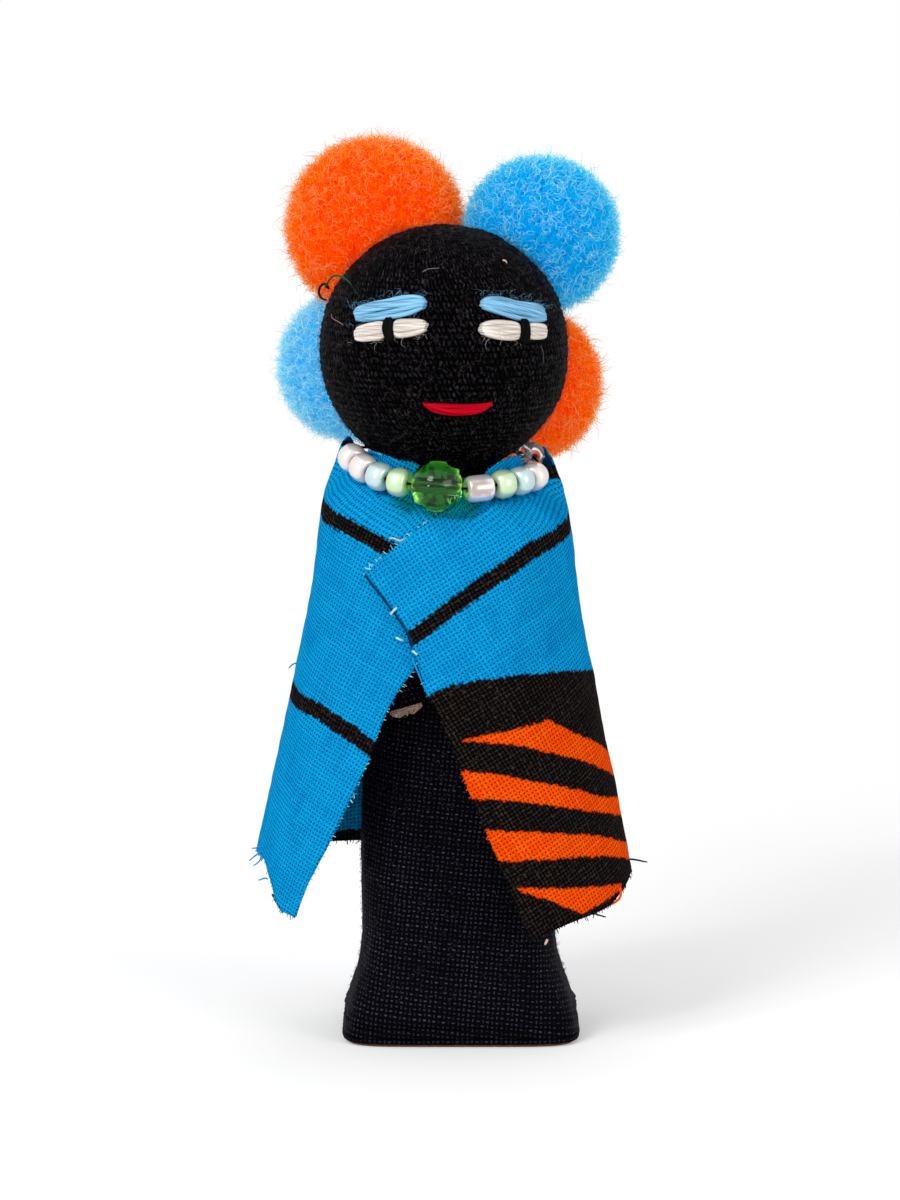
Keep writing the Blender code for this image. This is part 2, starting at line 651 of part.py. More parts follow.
def shawl_point(round_angle, z):
    """A point of the shawl's middle surface. The angle runs on past 360 degrees where the left flap ends."""
    turn = (round_angle + 180.0) % 360.0 - 180.0
    side = along(SHAWL_SIDE + tuple((h, LOOP_RADIUS + out) for h, out in COLLAR_SIDE), z)[0]
    deep = along(SHAWL_DEEP + tuple((h, LOOP_BACK + out) for h, out in COLLAR_BACK), z)[0]
    over = z - loop_point(turn).z
    past = abs(turn - BIG_ANGLE) - math.degrees(BIG_LENGTH / 2 / LOOP_RADIUS)
    hollow = 1 - smooth(past, *HOLLOW_SIDES)
    throat = throat_reach(over, mix(SEED_RADIUS, BIG_RADIUS, hollow))
    below = HEAD_Z - z
    if abs(below) < HEAD_RADIUS:
        throat = max(throat, math.sqrt(HEAD_RADIUS**2 - below**2) + 1.5 * GAP + CLOTH / 2)
    front = (1 - smooth(abs(turn), *collar_cross())) * smooth(over, *COLLAR_FOOT)
    wide, long = mix(side, throat, front), mix(deep, throat, front)
    waves = smooth(60.0 - z, 0.0, 35.0) * smooth(abs(turn), 70.0, 110.0) * FOLD_DEPTH
    swing = waves * math.sin(math.radians(turn) * FOLDS)
    layer = LAYER_STEP / 2 * (1 - smooth(round_angle, 22.0, 60.0))
    layer -= LAYER_STEP / 2 * smooth(round_angle, 300.0, 335.0)
    layer *= 1 - smooth(over, *LAYER_TOP)
    turn = math.radians(turn)
    x = SHAWL_X + (wide + swing + layer) * math.sin(turn)
    return Vector((x, -(long + swing + layer) * math.cos(turn), z))


def shawl_place(top_angle, share):
    """Angle and height at a share of the way down the cloth from a place on its upper edge."""
    first, last = SHAWL_TOP[0][0], SHAWL_TOP[-1][0]
    hem_first, hem_last = SHAWL_HEM[0][0], SHAWL_HEM[-1][0]
    across = (top_angle - first) / (last - first)
    hem_angle = mix(hem_first, hem_last, across)
    angle = mix(top_angle, hem_angle, share)
    for near, edge, start, end in (
        (1 - smooth(across, 0.0, 0.3), EDGE_RIGHT, first, hem_first),
        (smooth(across, 0.75, 1.0), EDGE_LEFT, last, hem_last),
    ):
        if near > 0:
            z = mix(edge[-1][0], edge[0][0], share)
            angle += near * (along(edge, z)[0] - mix(start, end, share))
    return angle, mix(along(SHAWL_TOP, top_angle)[0], along(SHAWL_HEM, hem_angle)[0], share)


def shawl_grid(columns, shares):
    return [[shawl_point(*shawl_place(angle, share)) for angle in columns] for share in shares]


def build_shawl():
    grid = shawl_grid(SHAWL_COLUMNS, SHAWL_ROWS)
    made = bmesh.new()
    rows = [[made.verts.new(p) for p in line] for line in grid]
    for low, high in zip(rows, rows[1:]):
        for i in range(len(low) - 1):
            made.faces.new((low[i], high[i], high[i + 1], low[i + 1]))
    shawl = new_object("shawl", made, "shawl_print")
    add_solidify(shawl, CLOTH, 0.0)


def build_tacks():
    for name, angle, z, length, tilt in TACKS:
        lift = CLOTH / 2 + GAP + TACK_RADIUS
        place = shawl_point(angle, z)
        side = (shawl_point(angle + 2.0, z) - shawl_point(angle - 2.0, z)).normalized()
        up = (shawl_point(angle, z + 1.0) - shawl_point(angle, z - 1.0)).normalized()
        out = side.cross(up)
        lean = math.radians(tilt)
        way = side * math.cos(lean) + up * math.sin(lean)
        half = length / 2
        rings = [
            circle(TACK_RADIUS * share, half * at, 8)
            for at, share in ((-1.0, 0.5), (-0.85, 1.0), (0.85, 1.0), (1.0, 0.5))
        ]
        solid = loft(rings)
        frame = Matrix.Translation(place + out * lift) @ turned_to(way)
        bmesh.ops.transform(solid, matrix=frame, verts=solid.verts)
        new_object(name, solid, "tack_thread")


# Arms


def arm_path(side):
    """Centres and outward directions of the arm's rings, from the shoulder to the end of the sleeve."""
    path = []
    for i in range(ARM_RINGS):
        share = i / (ARM_RINGS - 1)
        angle = side * mix(ARM_SHOULDER[0], ARM_END[0], share**0.6)
        z = mix(ARM_SHOULDER[1], ARM_END[1], share)
        reach = body_radius(angle, z) + 1.3 * GAP + ARM_THICK / 2
        shift = along(BODY_LEAN, z - BODY_FOOT)[0]
        turn = math.radians(angle)
        out = Vector((math.sin(turn), -math.cos(turn), 0.0))
        path.append((Vector((shift, 0.0, z)) + out * reach, out))
    return path


def oval(centre, out, way, thick, wide):
    across = way.cross(out).normalized()
    out = across.cross(way).normalized()
    return [
        centre + out * (math.sin(a) * thick / 2) + across * (math.cos(a) * wide / 2)
        for a in (2 * math.pi * k / ARM_SIDES for k in range(ARM_SIDES))
    ]


def build_arm(side, word):
    path = arm_path(side)
    shoulder = path[0][0]
    swing = pivot("arm_" + word + "_pivot", shoulder)
    rings = []
    for i, (centre, out) in enumerate(path):
        ahead, behind = path[min(i + 1, len(path) - 1)][0], path[max(i - 1, 0)][0]
        way = (ahead - behind).normalized()
        share = i / (len(path) - 1)
        swell = ARM_SWELL[i] if i < len(ARM_SWELL) else 1.0 - ARM_WAIST * math.sin(math.pi * share)
        rings.append(oval(centre, out, way, ARM_THICK * swell, ARM_WIDTH * swell))
    new_object("arm_" + word, loft(rings), "body_cloth", shoulder, swing)
    way = (path[-1][0] - path[-2][0]).normalized()
    out = path[-1][1]
    hand = []
    for at, share in ((GAP, 0.86), (GAP + HAND_LENGTH * 0.6, 0.8), (GAP + HAND_LENGTH, 0.55)):
        hand.append(oval(path[-1][0] + way * at, out, way, ARM_THICK * share, ARM_WIDTH * share))
    new_object("hand_" + word, loft(hand), "tan_cloth", shoulder, swing)


def main():
    clear_scene()
    build_body()
    turn = pivot("head_turn", HEAD_CENTRE)
    nod = pivot("head_nod", HEAD_CENTRE)
    build_neck(turn)
    build_head(nod)
    build_pompoms(nod)
    build_face(nod)
    build_necklace()
    build_shawl()
    build_tacks()
    build_arm(-1, "right")
    build_arm(1, "left")


main()
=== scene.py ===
# %% [markdown]
# # A stuffed cloth doll with pompom hair
# The real doll is 12 cm tall: a ball of black knit, a stuffed tube of dark cloth, four pompoms, a scrap of
# printed cotton worn as a shawl and a string of small beads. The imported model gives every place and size.
# This script dresses it: each soft solid is replaced by a finer piece that stands in the same room.

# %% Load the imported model
import math

import bpy
import numpy as np
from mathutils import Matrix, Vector


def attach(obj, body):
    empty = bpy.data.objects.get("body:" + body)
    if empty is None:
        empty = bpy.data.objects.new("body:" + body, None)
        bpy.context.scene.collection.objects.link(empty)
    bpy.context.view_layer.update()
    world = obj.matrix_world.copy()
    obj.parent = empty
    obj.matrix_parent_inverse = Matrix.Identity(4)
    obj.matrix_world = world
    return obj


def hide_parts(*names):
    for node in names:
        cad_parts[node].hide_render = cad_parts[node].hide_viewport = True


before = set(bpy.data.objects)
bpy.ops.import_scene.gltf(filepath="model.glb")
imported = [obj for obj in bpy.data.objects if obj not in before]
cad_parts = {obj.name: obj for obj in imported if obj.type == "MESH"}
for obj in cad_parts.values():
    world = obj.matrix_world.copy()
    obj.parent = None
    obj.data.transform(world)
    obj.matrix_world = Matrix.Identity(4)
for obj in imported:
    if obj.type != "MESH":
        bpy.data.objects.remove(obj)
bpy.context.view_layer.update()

MM = 0.001

# %% [markdown]
# ## Camera and light
# The photograph looks at the doll from the front, a little from above, through a long lens. The doll stands on
# white paper that blends into a white wall. A large lamp high on the left gives the shape, and a weaker one on the
# right opens the shadows. The white of the picture comes from the world's own colour, which only the camera and
# mirrors see, so it adds no light to the doll.

# %% Camera
CAMERA_TARGET = (-1.53, 0.0, 60.6)  # mm
CAMERA_RISE = 8.0  # degrees over the horizon
CAMERA_DISTANCE = 750.0
LENS = 162.0

lens = bpy.data.cameras.new("camera")
lens.lens = LENS
lens.sensor_width = 36.0
camera = bpy.data.objects.new("camera", lens)
bpy.context.scene.collection.objects.link(camera)
rise = math.radians(CAMERA_RISE)
target = Vector(CAMERA_TARGET) * MM
camera.location = target + Vector((0.0, -math.cos(rise), math.sin(rise))) * CAMERA_DISTANCE * MM
camera.rotation_euler = (target - camera.location).to_track_quat("-Z", "Y").to_euler()
bpy.context.scene.camera = camera
bpy.context.scene.view_settings.view_transform = "Standard"
print("camera stands", round((target - camera.location).length / MM), "mm away")

# %% Helpers for nodes


def put(tree, socket, value):
    """Links a socket to another one, or sets it to a plain value."""
    if isinstance(value, bpy.types.NodeSocket):
        tree.links.new(value, socket)
    else:
        socket.default_value = value


def maths(tree, operation, *values, kind="ShaderNodeMath"):
    node = tree.nodes.new(kind)
    node.operation = operation
    for socket, value in zip(node.inputs, values):
        put(tree, socket, value)
    return node.outputs[0]


def times(tree, first, second):
    return maths(tree, "MULTIPLY", first, second)


def plus(tree, first, second):
    return maths(tree, "ADD", first, second)


def line_of(tree, value, slope, start):
    """The value times a slope, plus a start."""
    return maths(tree, "MULTIPLY_ADD", value, slope, start)


def spread(tree, value, low, high, at_low=0.0, at_high=1.0):
    """A smooth step from one value to another while the input goes from low to high."""
    node = tree.nodes.new("ShaderNodeMapRange")
    node.interpolation_type = "SMOOTHSTEP"
    names = ("Value", "From Min", "From Max", "To Min", "To Max")
    for name, given in zip(names, (value, low, high, at_low, at_high)):
        put(tree, node.inputs[name], given)
    return node.outputs["Result"]


def tinted(tree, share, first, second):
    """A colour between two, by a share."""
    node = tree.nodes.new("ShaderNodeMix")
    node.data_type = "RGBA"
    for place, value in ((0, share), (6, first), (7, second)):
        if isinstance(value, tuple) and len(value) == 3:
            value = (*value, 1.0)
        put(tree, node.inputs[place], value)
    return node.outputs[2]


def noise(tree, where, scale, detail=2.0, rough=0.5, output="Fac"):
    node = tree.nodes.new("ShaderNodeTexNoise")
    put(tree, node.inputs["Vector"], where)
    node.inputs["Scale"].default_value = scale
    node.inputs["Detail"].default_value = detail
    node.inputs["Roughness"].default_value = rough
    return node.outputs[output]


def mark(tree, name, output="Vector"):
    """A value that the mesh carries at its points."""
    node = tree.nodes.new("ShaderNodeAttribute")
    node.attribute_name = name
    return node.outputs[output]


def own_place(tree):
    """Places in the object's own space, in metres."""
    return tree.nodes.new("ShaderNodeTexCoord").outputs["Object"]


def split_vector(tree, vector):
    node = tree.nodes.new("ShaderNodeSeparateXYZ")
    put(tree, node.inputs[0], vector)
    return node.outputs


def bump(tree, height, depth):
    """A bump whose depth is given in millimetres."""
    node = tree.nodes.new("ShaderNodeBump")
    node.inputs["Strength"].default_value = 1.0
    node.inputs["Distance"].default_value = depth * MM
    put(tree, node.inputs["Height"], height)
    return node.outputs["Normal"]


def new_material(name, constants):
    """A material and its shader, with the values that are the same all over the surface set on the shader."""
    made = bpy.data.materials.new(name)
    made.use_nodes = True
    shader = made.node_tree.nodes["Principled BSDF"]
    for socket, value in constants.items():
        shader.inputs[socket].default_value = value
    return made, made.node_tree, shader


print("node helpers ready")

# %% World, lamps and floor
WORLD_LIGHT = 0.62
LAMP_AIM = (0.0, 0.0, 60.0)  # mm
LAMPS = (  # name, place in mm, power in watts, width in mm
    ("key_lamp", (-330.0, -430.0, 470.0), 2.2, 260.0),
    ("fill_lamp", (480.0, -420.0, 240.0), 1.2, 320.0),
    ("back_lamp", (60.0, 420.0, 420.0), 0.4, 300.0),
    ("small_lamp", (-430.0, -500.0, 150.0), 0.4, 85.0),
)
PURE_WHITE = (1.0, 1.0, 1.0, 1.0)
PAPER_COLOUR = (0.84, 0.84, 0.84, 1.0)
PAPER_LIFT = 0.2  # what the camera sees on top of the paper's own light, so that lit paper is white
PAPER_FADE = (110.0, 330.0)  # mm from the doll between which the paper fades into the white room
PAPER_REACH = 2500.0
PAPER_BELOW = 0.02  # mm under the doll's foot


def seen_directly(tree):
    """One for rays from the camera, a mirror or glass, and zero for the rays that light the doll."""
    path = tree.nodes.new("ShaderNodeLightPath").outputs
    ray = maths(tree, "MAXIMUM", path["Is Camera Ray"], path["Is Glossy Ray"])
    return maths(tree, "MAXIMUM", ray, path["Is Transmission Ray"])


world = bpy.data.worlds.new("white room")
world.use_nodes = True
bpy.context.scene.world = world
room = world.node_tree
background = room.nodes["Background"].inputs
put(room, background["Color"], PURE_WHITE)
put(room, background["Strength"], line_of(room, seen_directly(room), 1.0 - WORLD_LIGHT, WORLD_LIGHT))

for name, place, power, width in LAMPS:
    data = bpy.data.lights.new(name, "AREA")
    data.energy = power
    data.size = width * MM
    lamp = bpy.data.objects.new(name, data)
    bpy.context.scene.collection.objects.link(lamp)
    lamp.location = Vector(place) * MM
    lamp.rotation_euler = (Vector(LAMP_AIM) - Vector(place)).to_track_quat("-Z", "Y").to_euler()
    print(name, power, "W")

reach = PAPER_REACH * MM
paper_mesh = bpy.data.meshes.new("floor")
paper_corners = [(-reach, -reach, 0), (reach, -reach, 0), (reach, reach, 0), (-reach, reach, 0)]
paper_mesh.from_pydata(paper_corners, [], [(0, 1, 2, 3)])
floor = bpy.data.objects.new("floor", paper_mesh)
floor.location.z = -PAPER_BELOW * MM
bpy.context.scene.collection.objects.link(floor)
paper, tree, shader = new_material("white paper", {
    "Base Color": PAPER_COLOUR, "Roughness": 0.9, "Specular IOR Level": 0.0, "Emission Color": PURE_WHITE,
})
put(tree, shader.inputs["Emission Strength"], times(tree, seen_directly(tree), PAPER_LIFT))
away = tree.nodes.new("ShaderNodeVectorMath")
away.operation = "LENGTH"
put(tree, away.inputs[0], own_place(tree))
fade_start, fade_end = (edge * MM for edge in PAPER_FADE)
put(tree, shader.inputs["Alpha"], spread(tree, away.outputs["Value"], fade_start, fade_end, 1.0, 0.0))
paper_mesh.materials.append(paper)

# %% [markdown]
# ## How the pieces are made
# Thousands of fibres, threads and knitted rows are too many for one object each, so each piece is one mesh whose
# points are worked out all at once as arrays. A thread is a thin closed tube along a path. A stuffed part is a
# skin over rings of points. Points carry named values, such as how far along a fibre they are, for the materials.

# %% Helpers for shapes


def mix(a, b, share):
    return a + (b - a) * share


def smooth(x, low, high):
    s = np.clip((x - low) / (high - low), 0.0, 1.0)
    return s * s * (3 - 2 * s)


def along(knots, x):
    """Values at x on a smooth curve through the knots, which are (x, value, ...) rows in order of x."""
    table = np.array(knots, float)
    at, value = table[:, 0], table[:, 1:]
    chord = np.diff(value, axis=0) / np.diff(at)[:, None]
    before, after = chord[:-1], chord[1:]
    same_way = before * after > 0
    slope = np.vstack([chord[:1], np.zeros_like(before), chord[-1:]])
    slope[1:-1][same_way] = (2 * before * after)[same_way] / (before + after)[same_way]
    x = np.clip(x, at[0], at[-1])
    i = np.clip(np.searchsorted(at, x, side="right") - 1, 0, len(at) - 2)
    span = (at[i + 1] - at[i])[..., None]
    s = (x - at[i])[..., None] / span
    found = (2 * s**3 - 3 * s**2 + 1) * value[i] + (s**3 - 2 * s**2 + s) * span * slope[i]
    found += (3 * s**2 - 2 * s**3) * value[i + 1] + (s**3 - s**2) * span * slope[i + 1]
    return found[..., 0] if value.shape[1] == 1 else found


def unit(v):
    return v / np.maximum(np.linalg.norm(v, axis=-1, keepdims=True), 1e-9)


def full_turn(count):
    """Angles spaced evenly all the way round, in radians."""
    return 2 * np.pi * np.arange(count) / count


def walked(points, axis=0):
    """How far each point is along its row, from the row's first point."""
    far = np.cumsum(np.linalg.norm(np.diff(points, axis=axis), axis=-1), axis=axis)
    return np.concatenate([np.zeros_like(far.take([0], axis=axis)), far], axis=axis)


def loop_ways(line):
    """Directions along a closed line of points."""
    return unit(np.roll(line, -1, axis=0) - np.roll(line, 1, axis=0))


def turned(across, up, angle):
    """Two coordinates turned by an angle in radians."""
    c, s = math.cos(angle), math.sin(angle)
    return across * c - up * s, across * s + up * c


def ripples(points, size, seed, count=14):
    """A soft random height over space, about -1 to 1, whose bumps are about as large as size."""
    random = np.random.default_rng(seed)
    ways = unit(random.normal(size=(count, 3))) * (2 * np.pi / size) * random.uniform(0.6, 1.4, (count, 1))
    return np.cos(points @ ways.T + random.uniform(0, 2 * np.pi, count)).sum(-1) / math.sqrt(count)


def two_triangles(a, b, c, d):
    """The triangles of faces that each have four corners, given in order round the face."""
    return [np.stack(corners, -1).reshape(-1, 3) for corners in ((a, b, c), (a, c, d))]


def tubes(paths, radii, sides=3):
    """Points and triangles of closed thin tubes. paths is (count, steps, 3) and radii (count, steps)."""
    count, steps, _ = paths.shape
    way = unit(np.gradient(paths, axis=1))
    main = np.abs(way.mean(axis=1))
    beside = np.eye(3)[main.argmin(axis=1)][:, None, :]
    across = unit(np.cross(way, beside))
    over = np.cross(way, across)
    turn = full_turn(sides)
    ring = across[:, :, None] * np.cos(turn)[:, None] + over[:, :, None] * np.sin(turn)[:, None]
    points = paths[:, :, None] + ring * radii[:, :, None, None]
    index = np.arange(count * steps * sides).reshape(count, steps, sides)
    low, high = index[:, :-1], index[:, 1:]
    faces = two_triangles(low, np.roll(low, -1, axis=2), np.roll(high, -1, axis=2), high)
    for i in range(1, sides - 1):
        faces.append(index[:, 0][:, [0, i + 1, i]])
        faces.append(index[:, -1][:, [0, i, i + 1]])
    return points.reshape(-1, 3), np.vstack(faces)


def skin(grid, ring_round=False):
    """Points and triangles over rings of points: grid is (rings, points, 3).

    The last ring joins the first one if ring_round is true. Otherwise a point in the middle closes each end.
    """
    rings, count, _ = grid.shape
    index = np.arange(rings * count).reshape(rings, count)
    low, high = (index, np.roll(index, -1, axis=0)) if ring_round else (index[:-1], index[1:])
    faces = two_triangles(low, np.roll(low, -1, axis=1), np.roll(high, -1, axis=1), high)
    points = grid.reshape(-1, 3)
    if not ring_round:
        points = np.vstack([points, grid[0].mean(axis=0), grid[-1].mean(axis=0)])
        first, last = index[0], index[-1]
        bottom, top = np.full(count, rings * count), np.full(count, rings * count + 1)
        faces.append(np.stack([bottom, np.roll(first, -1), first], -1))
        faces.append(np.stack([top, last, np.roll(last, -1)], -1))
    return points, np.vstack(faces)


def cloth_of_skin(across, up):
    """The mark 'cloth' for a skin with closed ends: where each point lies on the cloth, in millimetres."""
    cloth = np.stack([across, up, 0 * across], -1).reshape(-1, 3)
    return {"cloth": np.vstack([cloth, cloth[[0, -1]]])}


def even_marks(shape, along_it, chance):
    """Marks for a fibre material that are the same all over a shape."""
    count = len(shape[0])
    return {"along": np.full(count, along_it), "chance": np.full(count, chance)}


def add_piece(name, shape, finish, body, stands_for=(), marks=None):
    """A named object from points in millimetres and triangles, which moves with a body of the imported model."""
    points, faces = shape
    corners = points[faces]
    if (corners[:, 0] * np.cross(corners[:, 1], corners[:, 2])).sum() < 0:
        print(name, "is inside out")
    mesh = bpy.data.meshes.new(name)
    mesh.vertices.add(len(points))
    mesh.vertices.foreach_set("co", (points * MM).astype(np.float32).ravel())
    mesh.loops.add(faces.size)
    mesh.loops.foreach_set("vertex_index", faces.astype(np.int32).ravel())
    mesh.polygons.add(len(faces))
    mesh.polygons.foreach_set("loop_start", np.arange(0, faces.size, 3, dtype=np.int32))
    mesh.update(calc_edges=True)
    mesh.shade_smooth()
    for key, values in (marks or {}).items():
        values = np.asarray(values, np.float32)
        kind, field = ("FLOAT_VECTOR", "vector") if values.ndim == 2 else ("FLOAT", "value")
        mesh.attributes.new(key, kind, "POINT").data.foreach_set(field, values.ravel())
    mesh.materials.append(finish)
    obj = bpy.data.objects.new(name, mesh)
    bpy.context.scene.collection.objects.link(obj)
    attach(obj, body)
    if stands_for:
        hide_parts(*stands_for)
    print(name, len(faces), "triangles")
    return obj


print("shape helpers ready")

# %% [markdown]
# ## Shared effects
# Woven cloth shows on the body, the sleeves, the hands and the shawl. The weave is one node group: it takes
# the cloth's own coordinates in millimetres and the distance between threads, and gives the height of the threads,
# the small gaps between them and a shade for each thread. A second group is the knit of the head, and a third
# varies the colour of fibres from root to tip.

# %% Node group: plain weave
THREAD_ROUND = 1.3  # how sharply a thread falls off to its sides
OVER_UNDER = 0.45  # how far threads rise over each other, as a share of their height


def new_group(name, inputs, outputs):
    """An empty shader node group with named sockets."""
    group = bpy.data.node_groups.new(name, "ShaderNodeTree")
    for title, kind, value in inputs:
        socket = group.interface.new_socket(title, in_out="INPUT", socket_type="NodeSocket" + kind)
        if value is not None:
            socket.default_value = value
    for title, kind in outputs:
        group.interface.new_socket(title, in_out="OUTPUT", socket_type="NodeSocket" + kind)
    return group, group.nodes.new("NodeGroupInput").outputs, group.nodes.new("NodeGroupOutput").inputs


def use_group(tree, group, **values):
    node = tree.nodes.new("ShaderNodeGroup")
    node.node_tree = group
    for title, value in values.items():
        put(tree, node.inputs[title], value)
    return node.outputs


def random_of(tree, value, offset):
    """A random number for each whole number that the value has passed."""
    node = tree.nodes.new("ShaderNodeTexWhiteNoise")
    node.noise_dimensions = "1D"
    put(tree, node.inputs["W"], plus(tree, maths(tree, "FLOOR", value), offset))
    return node.outputs["Value"]


def half_waves(tree, value):
    """A wave that passes zero at each whole number."""
    return maths(tree, "SINE", times(tree, value, math.pi))


WEAVE, given, made = new_group(
    "plain weave",
    (("Cloth", "Vector", None), ("Pitch", "Float", 0.565)),
    (("Height", "Float"), ("Gap", "Float"), ("Shade", "Float"), ("Warp", "Float")),
)
wander = noise(WEAVE, given["Cloth"], 0.45, output="Color")
shifted = maths(WEAVE, "MULTIPLY_ADD", wander, (0.5, 0.5, 0.0), given["Cloth"], kind="ShaderNodeVectorMath")
place = split_vector(WEAVE, shifted)
u, v = (maths(WEAVE, "DIVIDE", place[axis], given["Pitch"]) for axis in "XY")
wave_u, wave_v = half_waves(WEAVE, u), half_waves(WEAVE, v)
crossing = times(WEAVE, wave_u, wave_v)
round_u, round_v = (
    maths(WEAVE, "POWER", maths(WEAVE, "ABSOLUTE", wave), THREAD_ROUND) for wave in (wave_u, wave_v)
)
warp = times(WEAVE, round_u, line_of(WEAVE, crossing, OVER_UNDER, 1 - OVER_UNDER))
weft = times(WEAVE, round_v, line_of(WEAVE, crossing, -OVER_UNDER, 1 - OVER_UNDER))
height = maths(WEAVE, "MAXIMUM", warp, weft)
on_top = maths(WEAVE, "GREATER_THAN", warp, weft)
warp_shade = times(WEAVE, random_of(WEAVE, u, 0.5), on_top)
weft_shade = times(WEAVE, random_of(WEAVE, v, 300.5), maths(WEAVE, "SUBTRACT", 1.0, on_top))
put(WEAVE, made["Height"], height)
put(WEAVE, made["Gap"], spread(WEAVE, height, 0.16, 0.5, 1.0, 0.0))
put(WEAVE, made["Shade"], plus(WEAVE, warp_shade, weft_shade))
put(WEAVE, made["Warp"], on_top)
print("weave group has", len(WEAVE.nodes), "nodes")

# %% Node group: knitted rows
KNIT, given, made = new_group(
    "knitted rows",
    (("Cloth", "Vector", None), ("Row", "Float", 0.88), ("Stitch", "Float", 0.72)),
    (("Height", "Float"), ("Shade", "Float")),
)
wander = noise(KNIT, given["Cloth"], 0.6)
place = split_vector(KNIT, given["Cloth"])
rows_up = plus(KNIT, maths(KNIT, "DIVIDE", place["Y"], given["Row"]), times(KNIT, wander, 0.6))
row_number = maths(KNIT, "FLOOR", rows_up)
stitches = maths(KNIT, "DIVIDE", place["X"], given["Stitch"])
stitches = plus(KNIT, stitches, times(KNIT, row_number, 0.5))  # each row is half a stitch on
lean = times(KNIT, maths(KNIT, "FRACT", rows_up), 0.4)
stitches = plus(KNIT, stitches, plus(KNIT, lean, times(KNIT, wander, 1.5)))
row_wave, stitch_wave = (maths(KNIT, "ABSOLUTE", half_waves(KNIT, steps)) for steps in (rows_up, stitches))
row_height = maths(KNIT, "POWER", row_wave, 0.45)
stitch_height = line_of(KNIT, maths(KNIT, "POWER", stitch_wave, 1.4), 0.85, 0.15)
put(KNIT, made["Height"], times(KNIT, row_height, stitch_height))
stitch_cell = KNIT.nodes.new("ShaderNodeCombineXYZ")
put(KNIT, stitch_cell.inputs[0], maths(KNIT, "FLOOR", stitches))
put(KNIT, stitch_cell.inputs[1], row_number)
stitch_shade = KNIT.nodes.new("ShaderNodeTexWhiteNoise")
stitch_shade.noise_dimensions = "2D"
put(KNIT, stitch_shade.inputs["Vector"], stitch_cell.outputs[0])
put(KNIT, made["Shade"], stitch_shade.outputs["Value"])
print("knit group has", len(KNIT.nodes), "nodes")

# %% Node group: fibre colours
FIBRE, given, made = new_group(
    "fibre colours",
    (
        ("Root", "Color", (0.5, 0.5, 0.5, 1.0)), ("Tip", "Color", (0.8, 0.8, 0.8, 1.0)),
        ("Along", "Float", 0.0), ("Chance", "Float", 0.5), ("Variation", "Float", 0.2),
    ),
    (("Color", "Color"),),
)
tone = tinted(FIBRE, given["Along"], given["Root"], given["Tip"])
from_middle = maths(FIBRE, "SUBTRACT", given["Chance"], 0.5)
level = line_of(FIBRE, from_middle, times(FIBRE, given["Variation"], 2.0), 1.0)
scaled = FIBRE.nodes.new("ShaderNodeVectorMath")
scaled.operation = "SCALE"
put(FIBRE, scaled.inputs[0], tone)
put(FIBRE, scaled.inputs["Scale"], level)
put(FIBRE, made["Color"], scaled.outputs[0])


def fibre_material(name, root, tip, variation=0.2, roughness=0.75, gloss=0.05, glow=0.0, painted_glow=0.0):
    """Threads and fibres, whose points carry 'along', from root to tip, and 'chance', a number for each fibre."""
    made, tree, shader = new_material(name, {
        "Roughness": roughness, "Specular IOR Level": gloss, "Subsurface Weight": glow,
        "Subsurface Radius": (1.0, 1.0, 1.0), "Subsurface Scale": 0.4 * MM, "Emission Strength": painted_glow,
    })
    colour = use_group(
        tree, FIBRE, Root=(*root, 1.0), Tip=(*tip, 1.0), Along=mark(tree, "along", "Fac"),
        Chance=mark(tree, "chance", "Fac"), Variation=variation,
    )["Color"]
    put(tree, shader.inputs["Base Color"], colour)
    # The painted glow is emission in the fibres' own colour: painted light that stands in for light coming through the
    # bundle.
    if painted_glow:  # light that comes through the bundle from the other side
        put(tree, shader.inputs["Emission Color"], colour)
    return made


print("fibre group has", len(FIBRE.nodes), "nodes")

# %% [markdown]
# ## Head
# The real head is a ball stuffed tight inside black knit, whose courses run round it like lines of latitude. Its
# courses are ridges in the mesh, so that they show on the outline too, and the single stitches are a bump. Short
# grey hairs of the yarn stand out all over it.

# %% The ball
HEAD_RADIUS = 17.2
HEAD_CENTRE = np.array((-2.35, 0.0, 95.5497))
COURSE, STITCH = 0.88, 0.72  # height and width of a knitted stitch
COURSE_RIDGE = 0.14
KNIT_INSET = 0.12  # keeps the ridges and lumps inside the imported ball
RINGS_IN_COURSE, HEAD_COLUMNS = 6, 256
POLE = 89.6  # degrees up to which the rings go
head_courses = int(round(math.pi * HEAD_RADIUS / COURSE))


def on_head(azimuth, elevation, lift=0.0):
    """Points over the ball at angles from the front towards +X and up, in degrees."""
    a, e = np.radians(azimuth), np.radians(elevation)
    out = np.stack([np.sin(a) * np.cos(e), -np.cos(a) * np.cos(e), np.sin(e)], -1)
    return HEAD_CENTRE + out * (HEAD_RADIUS + np.asarray(lift))[..., None]


knit, tree, shader = new_material("black knit", {"Roughness": 0.55, "Specular IOR Level": 0.012})
cloth = mark(tree, "cloth")
stitch = use_group(tree, KNIT, Cloth=cloth, Row=COURSE, Stitch=STITCH)
patchy_highlight = spread(tree, noise(tree, cloth, 0.35, 3.0), 0.3, 0.7, 0.45, 1.3)
clumps = spread(tree, noise(tree, cloth, 1.3, 1.0), 0.36, 0.62, 0.25, 1.25)
stitch_light = line_of(tree, maths(tree, "POWER", stitch["Shade"], 3.0), 0.75, 0.25)
# Stitch tops are painted lighter than the gaps between them: a painted highlight on the yarn and painted shade in the
# gaps. Random stitches and patches make the highlight brighter or dimmer.
lit = times(tree, spread(tree, stitch["Height"], 0.5, 0.95), stitch_light)
lit = times(tree, lit, times(tree, patchy_highlight, clumps))
put(tree, shader.inputs["Base Color"], tinted(tree, lit, (0.0006, 0.0004, 0.0007), (0.043, 0.036, 0.046)))
relief = line_of(tree, noise(tree, cloth, 5.0, 3.0), 0.55, stitch["Height"])
put(tree, shader.inputs["Normal"], bump(tree, relief, 0.45))

